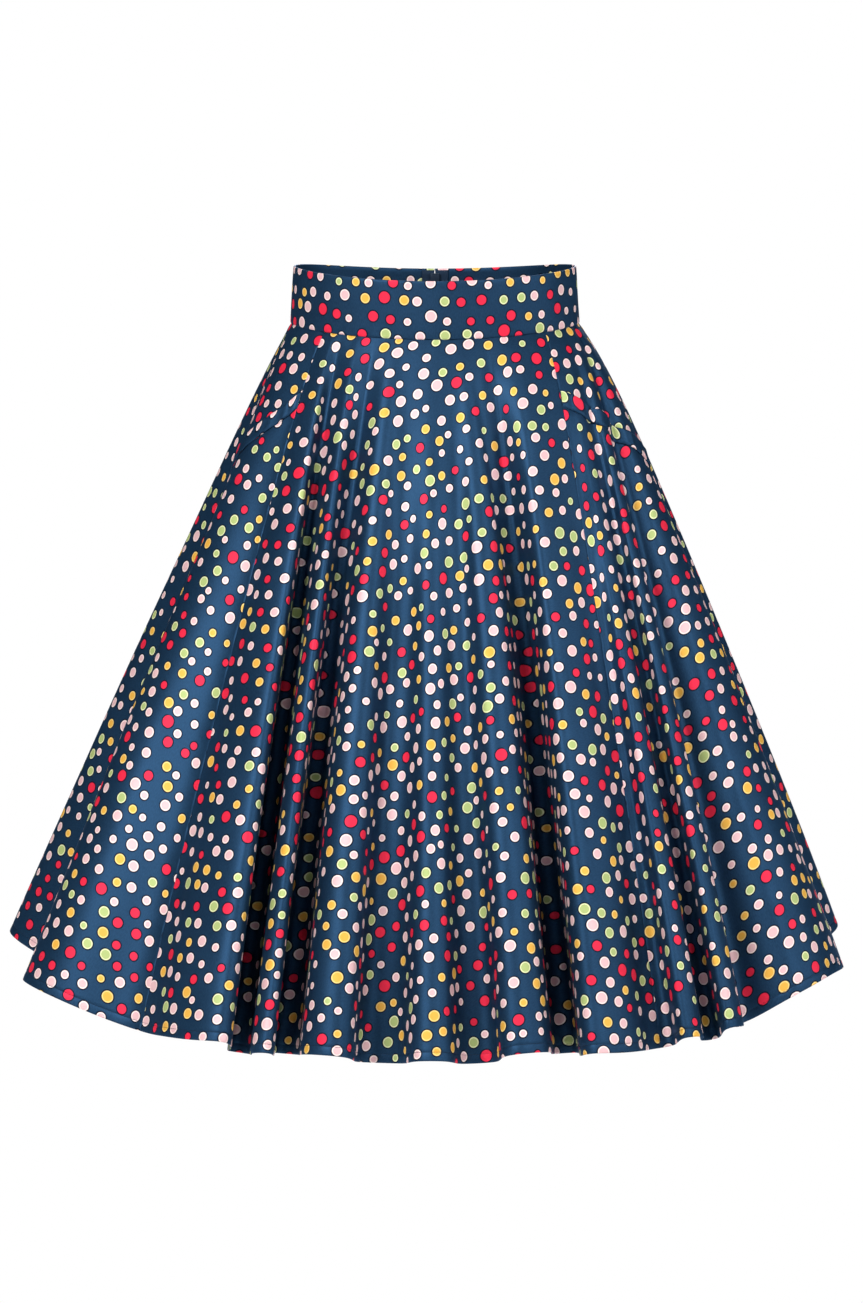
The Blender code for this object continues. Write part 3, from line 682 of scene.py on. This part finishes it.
# %% The slanted pocket line
POCKET_SEAM = {"princess": 73 * MM, "side": 163 * MM}
BAND_DIVE, BAND_DIVE_REACH = 1.3 * MM, 2.2 * MM


def pocket_line(arcs, first_seam, last_seam):
    """How far below the band's top edge the pocket seam lies at each place."""
    share = (arcs - arcs[0]) / (arcs[-1] - arcs[0])
    ends = [POCKET_SEAM[seam.split("_")[0]] for seam in (first_seam, last_seam)]
    return BAND_HEIGHT + (1 - share) * ends[0] + share * ends[1]


# %% Side fronts and hip pieces
Side = namedtuple("Side", "name first last grain hip_grain band_grain")
SIDES = [
    Side("left", "side_left", "princess_left", 5, -9, 62),
    Side("right", "princess_right", "side_right", -4, 11, -57),
]
HIP_LAP, HIP_ROWS = 6 * MM, 34
HIP_SINK, SINK_STARTS, SINK_RUN = 1.1 * MM, 2 * MM, 3 * MM

for side in SIDES:
    arcs = panel_columns(PLACE[side.first], PLACE[side.last])
    seam = pocket_line(arcs, side.first, side.last)
    down, out, flat_down = panel_rows(arcs, seam)
    flat = flat_panel(with_allowance(arcs), flat_down)
    points = shaped(arcs, down, out, (side.first, side.last))
    dressed(f"side_front_{side.name}", points, flat, side.grain)
    top = BAND_HEIGHT - WAIST_TUCK
    down = top + (seam + HIP_LAP - top)[:, None] * np.linspace(0.0, 1.0, HIP_ROWS)
    sunk = -HIP_SINK * np.clip((down - seam[:, None] + SINK_STARTS) / SINK_RUN, 0.0, 1.0)
    flat = flat_panel(with_allowance(arcs), down)
    points = shaped(arcs, down, sunk, (side.first, side.last))
    dressed(f"hip_{side.name}", points, flat, side.hip_grain)

# %% Pocket bands, folded at the mouth and sewn under below
BAND_WAVE, BAND_WAVE_PACE = 0.25 * MM, 0.6
POCKET_BAND_ROWS = [
    Row(-0.3, 0.2, 0.0),
    Row(0.2, 0.8, 0.7),
    Row(1.0, 1.2, 1.6),
    Row(3.0, 1.5, 3.6),
    Row(6.0, 1.65, 6.6),
    Row(9.0, 2.0, 9.6),
    Row(12.0, 2.4, 12.6),
    Row(14.0, 2.65, 14.6),
    Row(14.8, 2.5, 15.5),
    Row(15.0, 2.0, 16.0),
    Row(14.6, 1.45, 16.6),
    Row(13.0, 1.15, 18.2),
    Row(9.0, 0.75, 22.2),
    Row(5.0, 0.5, 26.2),
]

for side in SIDES:
    arcs = panel_columns(PLACE[side.first], PLACE[side.last])
    seam = pocket_line(arcs, side.first, side.last)
    table = np.array(POCKET_BAND_ROWS[::-1]) * MM
    down = seam[:, None] - table[:, 0]
    plain = cloth_points(arcs, down)
    from_start, from_end = edge_distances(plain)
    lift = table[:, 1] + BAND_WAVE * ripple(arcs[:, None] * BAND_WAVE_PACE, 0.2)
    for distance in (from_start, from_end):
        lift = lift - BAND_DIVE * bell(distance, BAND_DIVE_REACH)
    points = closed_up(plain + cloth_normals(arcs, down) * lift[..., None])
    run = edge_distances(plain)[0][:, :1]
    level = cloth_points(arcs, np.full(down.shape, np.mean(seam)))
    upright = edge_distances(level)[0][-1, 0] / run[-1, 0]
    flat = np.stack(np.broadcast_arrays(run, table[:, 2][None, :] * upright), axis=-1)
    dressed(f"pocket_band_{side.name}", points, flat, side.band_grain)

# %% [markdown]
# ## The waistband
# It is one strip, folded lengthwise: its face, the fold at the top edge and the layer inside. Made as
# a sheet that runs up the front, round the fold and down the back, it has a soft top edge and a lower
# edge that turns in over the panels, as the sewn one has.

# %% A folded strip round the waist
WAISTBAND_COLUMNS = 420
ZIP_EDGE, ROOM_FOR_LUG, LUG_REACH = 0.03 * MM, 0.62 * MM, 5 * MM
SLIDER_DOWN = 9.5 * MM
CALM_AT_ZIP = 30 * MM
LONG_WAVE, LONG_WAVE_PACE = 0.45 * MM, 0.35
SEAM_WAVE, SEAM_WAVE_PACE, SEAM_WAVE_REACH = 0.22 * MM, 1.3, 9 * MM
WAISTBAND_ROWS = [
    Row(-0.25, 0.25, 0.0),
    Row(0.05, 0.7, 0.6),
    Row(0.6, 1.0, 1.3),
    Row(1.6, 1.1, 2.3),
    Row(4.0, 1.15, 4.7),
    *[Row(up, 1.15, up + 0.7) for up in np.linspace(8, 45, 13)],
    Row(48.0, 1.1, 48.7),
    Row(49.2, 0.95, 49.9),
    Row(49.8, 0.6, 50.7),
    Row(50.0, 0.0, 51.3),
    Row(49.8, -0.55, 51.9),
    Row(49.0, -0.95, 52.8),
    Row(46.0, -1.05, 55.8),
    *[Row(up, -1.05, 101.8 - up) for up in np.linspace(40, 5, 9)],
    Row(0.8, -1.0, 101.0),
]

angles = np.linspace(-math.pi, math.pi, WAISTBAND_COLUMNS + 1)
hem_places = np.linspace(PLACE["centre_back"] - HEM, PLACE["centre_back"], LOOP_STEPS + 1)[1:-1]
hem_waist = np.unwrap(waist_arc(hem_places), period=WAIST)
hem_waist -= WAIST * round(float(np.mean(hem_waist)) / WAIST)
hem_angles = np.interp(hem_waist, oval_arcs, oval_angles)
arcs = np.interp(angles, hem_angles, hem_places)
table = np.array(WAISTBAND_ROWS[::-1]) * MM
down = np.broadcast_to(BAND_HEIGHT - table[:, 0], (len(arcs), len(table)))
run = np.interp(angles, oval_angles, oval_arcs)[:, None]
wave = LONG_WAVE * ripple(run * LONG_WAVE_PACE, 0.9) * np.sin(np.clip(down / BAND_HEIGHT, 0, 1) * math.pi)
wave = wave + SEAM_WAVE * ripple(run * SEAM_WAVE_PACE, 2.2) * bell(table[:, 0], SEAM_WAVE_REACH)
wave = wave * (1 - bell(WAIST / 2 - np.abs(run), CALM_AT_ZIP))
plain = cloth_points(arcs, np.clip(down, 0.0, None))
lift = table[:, 1] + wave
points = plain + cloth_normals(arcs, np.clip(down, 0.3 * MM, None)) * lift[..., None]
opening = ZIP_EDGE + ROOM_FOR_LUG * bell(down[0] - SLIDER_DOWN, LUG_REACH)
for edge, inner in ((0, 1), (-1, -2)):
    points[edge] += unit(points[inner] - points[edge]) * opening[:, None]
flat = np.stack(np.broadcast_arrays(run, table[:, 2][None, :]), axis=-1)
dressed("waistband", points, flat)

# %% [markdown]
# ## The zip
# A concealed zip shows only its pull. Its two tapes lie inside the band and the centre back seam, and
# its coil lies on the tapes' inner side: a row of small loops from each side that hook behind each
# other. The slider and its pull come from the frame, with their edges softened by a bevel.

# %% The two tapes
TAPE_WIDTH, TAPE_STARTS, TAPE_ENDS = 11 * MM, 1.2 * MM, 200 * MM
TAPE_CLOTH, TAPE_DEPTH, ZIP_HALF_GAP = 0.7 * MM, 1.7 * MM, 0.75 * MM
CORD_PLACE, CORD_RISE, CORD_REACH = 1.0 * MM, 0.25 * MM, 0.8 * MM
back = PLACE["centre_back"]
tape_down = np.linspace(TAPE_STARTS, TAPE_ENDS, 50)
tape_across = np.array([0.0, 0.5, 1.0, 1.6, 2.4, 4.0, 6.0, 8.0, 10.0, 10.6, 11.0]) * MM


def beside_zip(across, down, out):
    """Points of the back at a distance from the centre back seam, moved out from the cloth."""
    middle = cloth_points(np.array([back - MM, back + MM]), np.tile(down, (2, 1)))
    pace = np.linalg.norm(middle[1] - middle[0], axis=1) / (2 * MM)
    columns = []
    for place, width in enumerate(across):
        line = cloth_points(back + width / pace, down[:, None])[:, 0]
        face = cloth_normals(back + width / pace, down[:, None])[:, 0]
        columns.append(line + face * np.broadcast_to(out[place], (len(down),))[:, None])
    return np.array(columns)


ZIP_SIDES = (("left", 1.0), ("right", -1.0))
for side, sign in ZIP_SIDES:
    cord = CORD_RISE * bell(tape_across - CORD_PLACE, CORD_REACH)
    across = sign * (ZIP_HALF_GAP + tape_across)
    order = slice(None, None, int(sign))
    points = beside_zip(across[order], tape_down, (-TAPE_DEPTH - cord[order])[:, None])
    flat = np.stack(np.meshgrid(across[order], -tape_down, indexing="ij"), axis=-1)
    tape = cloth_sheet(f"zip_tape_{side}_weave", points, flat, TAPE_CLOTH)
    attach(tape, "root")
    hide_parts(f"zip_tape_{side}")
    print(tape.name, len(tape.data.polygons), "faces")

# %% A small bar modelled once, and copies of it
def rounded_bar(width, length, rounding):
    """Corners and triangles of a tiny bar with rounded edges, for a loop of the coil or a stitch."""
    bpy.ops.object.select_all(action="DESELECT")
    bpy.ops.mesh.primitive_cylinder_add(vertices=6, radius=width / 2, depth=length, end_fill_type="NGON")
    bar = bpy.context.object
    bpy.ops.object.mode_set(mode="EDIT")
    bpy.ops.mesh.select_all(action="SELECT")
    bpy.ops.mesh.bevel(offset=width * rounding, segments=1, affect="EDGES")
    bpy.ops.mesh.quads_convert_to_tris()
    bpy.ops.object.mode_set(mode="OBJECT")
    corners = np.array([corner.co for corner in bar.data.vertices])
    faces = np.array([face.vertices for face in bar.data.polygons])
    bpy.data.objects.remove(bar)
    return corners, faces


def repeated(name, bar, middle, along, across, out):
    """One mesh of a bar copied to many places, its long side laid along the first direction."""
    corners, faces = bar
    placed = (
        middle[:, None, :]
        + along[:, None, :] * corners[None, :, 2:3]
        + across[:, None, :] * corners[None, :, 0:1]
        + out[:, None, :] * corners[None, :, 1:2]
    )
    numbered = faces[None] + (np.arange(len(middle)) * len(corners))[:, None, None]
    mesh = bpy.data.meshes.new(name)
    mesh.from_pydata(placed.reshape(-1, 3).tolist(), [], numbered.reshape(-1, 3).tolist())
    made = bpy.data.objects.new(name, mesh)
    bpy.context.scene.collection.objects.link(made)
    made.data.shade_smooth()
    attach(made, "root")
    print(name, len(middle), "copies,", len(made.data.polygons), "faces")
    return made


# %% The coil: two rows of loops that hook behind each other
LOOP_WIDTH, LOOP_PITCH, COIL_WIRE = 2.6 * MM, 1.25 * MM, 0.55 * MM
COIL_STARTS, COIL_ENDS = 17 * MM, TAPE_ENDS - 3 * MM
COIL_PLACE, COIL_DEPTH = 0.9 * MM, 2.95 * MM

loop = rounded_bar(COIL_WIRE, LOOP_WIDTH, rounding=0.3)
coil_down = np.arange(COIL_STARTS, COIL_ENDS, LOOP_PITCH)
for side, sign in ZIP_SIDES:
    down = coil_down + (LOOP_PITCH / 2 if sign > 0 else 0.0)
    middle = beside_zip(np.array([sign * COIL_PLACE]), down, np.array([[-COIL_DEPTH]]))[0]
    side_way = np.tile([-sign, 0.0, 0.0], (len(down), 1))
    face = np.tile([0.0, 1.0, 0.0], (len(down), 1))
    coil = repeated(f"zip_coil_{side}", loop, middle, side_way, np.cross(face, side_way), face)

# %% Slider and pull with soft edges
SOFT_EDGE_WIDTH = 0.22 * MM

for node, body in (("zip_slider", "root"), ("zip_pull", "pull")):
    source = bpy.data.objects[node]
    soft = source.copy()
    soft.data = source.data.copy()
    soft.name = soft.data.name = node + "_soft"
    bpy.context.scene.collection.objects.link(soft)
    bpy.ops.object.select_all(action="DESELECT")
    soft.select_set(True)
    bpy.context.view_layer.objects.active = soft
    bpy.ops.object.mode_set(mode="EDIT")
    bpy.ops.mesh.select_all(action="SELECT")
    bpy.ops.mesh.remove_doubles(threshold=1e-6)
    bpy.ops.mesh.tris_convert_to_quads()
    bpy.ops.object.mode_set(mode="OBJECT")
    edge = soft.modifiers.new("Soft edges", "BEVEL")
    edge.width = SOFT_EDGE_WIDTH
    edge.segments = 2
    edge.limit_method = "ANGLE"
    bpy.ops.object.modifier_apply(modifier=edge.name)
    bpy.ops.object.shade_smooth_by_angle(angle=math.radians(40))
    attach(soft, body)
    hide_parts(node)
    print(soft.name, len(soft.data.polygons), "faces")

# %% [markdown]
# ## Hem stitches
# One stitch is a bar of thread, slimmer at its ends where it dives into the cloth. It is modelled
# once and copied along the hem in a lockstitch rhythm, each copy laid along the cloth.

# %% A row of stitches round the hem
STITCH_LENGTH, STITCH_PITCH, THREAD, STITCH_SINK = 2.5 * MM, 2.95 * MM, 0.34 * MM, 0.22 * MM

stitch = rounded_bar(THREAD, STITCH_LENGTH, rounding=0.28)
count = int(HEM / STITCH_PITCH)
arcs = (np.arange(count) + 0.5) * HEM / count
down = (BAND_HEIGHT + panel_length(arcs) - HEM_TURN)[:, None]
middle = cloth_points(arcs, down)[:, 0]
out = cloth_normals(arcs, down)[:, 0]
ahead = unit(cloth_points(arcs + MM, down)[:, 0] - cloth_points(arcs - MM, down)[:, 0])
across = np.cross(out, ahead)
lift = crease_lift(arcs, down)[:, 0] + hem_ripples(arcs, down)[:, 0] - STITCH_SINK
middle = middle + out * lift[:, None]
stitching = repeated("hem_stitching", stitch, middle, ahead, across, out)

# %% [markdown]
# ## Materials
# The print is a common one: small round dots in pink, coral, yellow and green, scattered evenly on
# navy, each with a thin dark outline, and all but the coral ones with a paler rim. They stand in
# staggered rows that are shaken a little: the place is sheared into a square lattice, where a Voronoi
# texture gives each dot its middle, a random colour and size, and the largest circle that fits its
# cell, so dots never touch. The middle is then sheared back, so that the dots are round. The face and
# the reverse share the group. Sateen's long floats shine in their own colour, so the navy ground is
# partly metallic and the inks are much less so.

# %% Small helpers for node trees
def add(tree, kind, **settings):
    """A new node with these settings."""
    node = tree.nodes.new(kind)
    for name, value in settings.items():
        setattr(node, name, value)
    return node


def join(tree, source, target):
    """A link from one socket to another."""
    tree.links.new(source, target)


def maths(tree, operation, first, second=None, third=None):
    """A Math node: each input is a number or a socket."""
    node = add(tree, "ShaderNodeMath", operation=operation)
    for socket, value in zip(node.inputs, (first, second, third)):
        if isinstance(value, (int, float)):
            socket.default_value = value
        elif value is not None:
            join(tree, value, socket)
    return node.outputs[0]


def mixed(tree, amount, first, second):
    """A colour mix: each input is a number, a colour or a socket."""
    node = add(tree, "ShaderNodeMix", data_type="RGBA")
    for socket, value in ((node.inputs[0], amount), (node.inputs[6], first), (node.inputs[7], second)):
        if isinstance(value, (int, float, tuple)):
            socket.default_value = value
        else:
            join(tree, value, socket)
    return node.outputs[2]


def parts(tree, vector):
    """The separate coordinates of a vector."""
    node = add(tree, "ShaderNodeSeparateXYZ")
    join(tree, vector, node.inputs[0])
    return node.outputs[0], node.outputs[1]


def together(tree, across, up):
    """A flat vector from two coordinates."""
    node = add(tree, "ShaderNodeCombineXYZ")
    join(tree, across, node.inputs[0])
    join(tree, up, node.inputs[1])
    return node.outputs[0]


def new_group(name, outputs):
    """An empty node group that is given a place on the flat cloth, and its input and output nodes."""
    group = bpy.data.node_groups.new(name, "ShaderNodeTree")
    group.interface.new_socket("Place", in_out="INPUT", socket_type="NodeSocketVector")
    for output, kind in outputs.items():
        group.interface.new_socket(output, in_out="OUTPUT", socket_type="NodeSocket" + kind)
    return group, add(group, "NodeGroupInput"), add(group, "NodeGroupOutput")


# %% Dot print group
DOT_SPACING = 17.5 * MM
ROW_SPACING = DOT_SPACING * math.sqrt(0.75)
DOT_JITTER = 0.42
SMALLEST_DOT, LARGEST_DOT = 3.1 * MM, 5.3 * MM
DOT_CLEAR = 0.9 * MM
OUTLINE, RIM, SOFT_EDGE = 1.15 * MM, 1.0 * MM, 0.22 * MM
Ink = namedtuple("Ink", "name share heart rim")
INKS = [
    Ink("pink", 0.48, (0.76, 0.48, 0.50, 1), (0.88, 0.73, 0.71, 1)),
    Ink("coral", 0.23, (0.76, 0.024, 0.060, 1), (0.76, 0.024, 0.060, 1)),
    Ink("yellow", 0.15, (0.80, 0.43, 0.065, 1), (0.86, 0.62, 0.22, 1)),
    Ink("green", 0.14, (0.42, 0.51, 0.19, 1), (0.70, 0.75, 0.44, 1)),
]

dots, inside, outside = new_group("dot_print", {"Colour": "Color", "Dot": "Float", "Outline": "Float"})
cells = add(dots, "ShaderNodeTexVoronoi", voronoi_dimensions="2D", feature="F1")
room = add(dots, "ShaderNodeTexVoronoi", voronoi_dimensions="2D", feature="N_SPHERE_RADIUS")
across, up = parts(dots, inside.outputs["Place"])
row = maths(dots, "MULTIPLY", up, 1 / ROW_SPACING)
column = maths(dots, "MULTIPLY_ADD", row, -0.5, maths(dots, "MULTIPLY", across, 1 / DOT_SPACING))
sheared = together(dots, column, row)
for texture in (cells, room):
    texture.inputs["Scale"].default_value = 1.0
    texture.inputs["Randomness"].default_value = DOT_JITTER
    join(dots, sheared, texture.inputs["Vector"])
column, row = parts(dots, cells.outputs["Position"])
across = maths(dots, "MULTIPLY", maths(dots, "MULTIPLY_ADD", row, 0.5, column), DOT_SPACING)
middle = together(dots, across, maths(dots, "MULTIPLY", row, ROW_SPACING))
away = add(dots, "ShaderNodeVectorMath", operation="DISTANCE")
join(dots, inside.outputs["Place"], away.inputs[0])
join(dots, middle, away.inputs[1])
distance = away.outputs["Value"]
chance = add(dots, "ShaderNodeSeparateColor")
join(dots, cells.outputs["Color"], chance.inputs[0])
wanted = maths(dots, "MULTIPLY_ADD", chance.outputs[1], LARGEST_DOT - SMALLEST_DOT, SMALLEST_DOT)
fitting = maths(dots, "MULTIPLY_ADD", room.outputs["Radius"], ROW_SPACING, -DOT_CLEAR)
radius = maths(dots, "MINIMUM", wanted, fitting)


def within(edge):
    """1 inside this distance from a dot's middle and 0 outside, with a soft printed edge."""
    past = maths(dots, "SUBTRACT", edge, distance)
    step = maths(dots, "MULTIPLY_ADD", past, 1 / SOFT_EDGE, 0.5)
    node = add(dots, "ShaderNodeClamp")
    join(dots, step, node.inputs[0])
    return node.outputs[0]


dot_mask = within(radius)
outline_mask = within(maths(dots, "ADD", radius, OUTLINE))
heart_mask = within(maths(dots, "SUBTRACT", radius, RIM))
reached = INKS[0].share
hearts, rims = INKS[0].heart, INKS[0].rim
for ink in INKS[1:]:
    chosen = maths(dots, "GREATER_THAN", chance.outputs[0], reached)
    hearts = mixed(dots, chosen, hearts, ink.heart)
    rims = mixed(dots, chosen, rims, ink.rim)
    reached += ink.share
join(dots, mixed(dots, heart_mask, rims, hearts), outside.inputs["Colour"])
join(dots, dot_mask, outside.inputs["Dot"])
join(dots, outline_mask, outside.inputs["Outline"])
print("dot print group with", len(dots.nodes), "nodes")

# %% Sateen weave group: long floats along the warp, a slubby grain and faint wear
FLOAT_WIDTH, FLOAT_LENGTH, CLOUDS_TO_METRE = 0.9 * MM, 2.6 * MM, 14.0

weave, inside, outside = new_group("sateen_weave", {"Height": "Float", "Tone": "Float"})
stretch = add(weave, "ShaderNodeMapping")
stretch.inputs["Scale"].default_value = (1 / FLOAT_WIDTH, 1 / FLOAT_LENGTH, 1.0)
join(weave, inside.outputs["Place"], stretch.inputs["Vector"])
floats = add(weave, "ShaderNodeTexNoise", noise_dimensions="2D")
floats.inputs["Scale"].default_value = 1.0
floats.inputs["Detail"].default_value = 1.0
join(weave, stretch.outputs[0], floats.inputs["Vector"])
cloudy = add(weave, "ShaderNodeTexNoise", noise_dimensions="2D")
cloudy.inputs["Scale"].default_value = CLOUDS_TO_METRE
cloudy.inputs["Detail"].default_value = 3.0
join(weave, inside.outputs["Place"], cloudy.inputs["Vector"])
join(weave, floats.outputs[0], outside.inputs["Height"])
half_cloudy = maths(weave, "MULTIPLY", cloudy.outputs[0], 0.5)
join(weave, maths(weave, "MULTIPLY_ADD", floats.outputs[0], 0.5, half_cloudy), outside.inputs["Tone"])
print("sateen weave group with", len(weave.nodes), "nodes")

# %% Printed face and reverse
NAVY, NAVY_DARK = (0.0215, 0.066, 0.142, 1), (0.0075, 0.024, 0.053, 1)
OUTLINE_INK = (0.003, 0.006, 0.016, 1)
GLEAM, INK_GLEAM = 0.60, 0.15
SMOOTHEST, ROUGHER = 0.47, 0.10
WEAVE_RELIEF = 0.06 * MM


def cloth_material(name):
    """A material that reads both groups at the cloth's flat place: it, its tree, shader and groups."""
    made = bpy.data.materials.new(name)
    made.use_nodes = True
    tree = made.node_tree
    place = add(tree, "ShaderNodeUVMap")
    groups = []
    for group in (dots, weave):
        node = add(tree, "ShaderNodeGroup")
        node.node_tree = group
        join(tree, place.outputs[0], node.inputs[0])
        groups.append(node)
    return made, tree, tree.nodes["Principled BSDF"], *groups


face, tree, shader, printed, woven = cloth_material("printed_sateen_face")
ground = mixed(tree, woven.outputs["Tone"], NAVY_DARK, NAVY)
inked = mixed(tree, printed.outputs["Outline"], ground, OUTLINE_INK)
colour = mixed(tree, printed.outputs["Dot"], inked, printed.outputs["Colour"])
join(tree, colour, shader.inputs["Base Color"])
rough = maths(tree, "MULTIPLY_ADD", woven.outputs["Tone"], ROUGHER, SMOOTHEST)
join(tree, rough, shader.inputs["Roughness"])
gleam = maths(tree, "MULTIPLY_ADD", printed.outputs["Outline"], -GLEAM, GLEAM)
gleam = maths(tree, "MULTIPLY_ADD", printed.outputs["Dot"], INK_GLEAM, gleam)
join(tree, gleam, shader.inputs["Metallic"])
bump = add(tree, "ShaderNodeBump")
bump.inputs["Strength"].default_value = 0.25
bump.inputs["Distance"].default_value = WEAVE_RELIEF
join(tree, woven.outputs["Height"], bump.inputs["Height"])
join(tree, bump.outputs[0], shader.inputs["Normal"])
shader.inputs["Specular IOR Level"].default_value = 0.2
shader.inputs["Specular Tint"].default_value = (0.35, 0.6, 1.0, 1)

REVERSE_NAVY, REVERSE_DARK = (0.030, 0.062, 0.105, 1), (0.022, 0.048, 0.085, 1)
SHOW_THROUGH = 0.16

reverse, tree, shader, printed, woven = cloth_material("printed_sateen_reverse")
ground = mixed(tree, woven.outputs["Tone"], REVERSE_DARK, REVERSE_NAVY)
faint = maths(tree, "MULTIPLY", printed.outputs["Dot"], SHOW_THROUGH)
join(tree, mixed(tree, faint, ground, printed.outputs["Colour"]), shader.inputs["Base Color"])
rough = maths(tree, "MULTIPLY_ADD", woven.outputs["Tone"], 0.15, 0.7)
join(tree, rough, shader.inputs["Roughness"])
shader.inputs["Specular IOR Level"].default_value = 0.25

# %% Thread, zip tape and lacquered metal
def plain_material(name, colour, darker, roughness, metallic, grain):
    """A finish without a print: two colours mixed by a fine noise of so many grains to a metre."""
    made = bpy.data.materials.new(name)
    made.use_nodes = True
    tree = made.node_tree
    shader = tree.nodes["Principled BSDF"]
    place = add(tree, "ShaderNodeTexCoord")
    noise = add(tree, "ShaderNodeTexNoise")
    noise.inputs["Scale"].default_value = grain
    noise.inputs["Detail"].default_value = 3.0
    join(tree, place.outputs["Object"], noise.inputs["Vector"])
    join(tree, mixed(tree, noise.outputs[0], darker, colour), shader.inputs["Base Color"])
    join(tree, maths(tree, "MULTIPLY_ADD", noise.outputs[0], 0.15, roughness), shader.inputs["Roughness"])
    shader.inputs["Metallic"].default_value = metallic
    shader.inputs["Specular IOR Level"].default_value = 0.2
    return made


thread = plain_material("hem_thread", (0.010, 0.018, 0.045, 1), (0.004, 0.008, 0.022, 1), 0.5, 0.0, 2500)
tape = plain_material("zip_tape_weave", (0.010, 0.028, 0.060, 1), (0.005, 0.015, 0.034, 1), 0.75, 0.0, 1800)
metal = plain_material("zip_lacquer", (0.030, 0.048, 0.080, 1), (0.016, 0.028, 0.050, 1), 0.28, 0.5, 900)
white = plain_material("studio_white", (0.90, 0.90, 0.90, 1), (0.88, 0.88, 0.88, 1), 0.85, 0.0, 3)

tree = white.node_tree
path = add(tree, "ShaderNodeLightPath")
glow = add(tree, "ShaderNodeEmission")
glow.inputs["Strength"].default_value = 1.0
blend = add(tree, "ShaderNodeMixShader")
join(tree, path.outputs["Is Camera Ray"], blend.inputs[0])
join(tree, tree.nodes["Principled BSDF"].outputs[0], blend.inputs[1])
join(tree, glow.outputs[0], blend.inputs[2])
join(tree, blend.outputs[0], tree.nodes["Material Output"].inputs["Surface"])

# %% Give each piece its finish
for piece in list(bpy.data.objects):
    if piece.type != "MESH":
        continue
    if piece.name.endswith("_cloth"):
        finishes = (face, reverse)
    elif piece.name == "hem_stitching":
        finishes = (thread,)
    elif piece.name == "studio_floor":
        finishes = (white,)
    elif piece.name.startswith("zip_tape"):
        finishes = (tape,)
    elif piece.name.startswith("zip_"):
        finishes = (metal,)
    else:
        continue
    if not piece.data.materials:
        for finish in finishes:
            piece.data.materials.append(finish)
    else:
        for slot in range(len(piece.data.materials)):
            piece.data.materials[slot] = finishes[min(slot, len(finishes) - 1)]
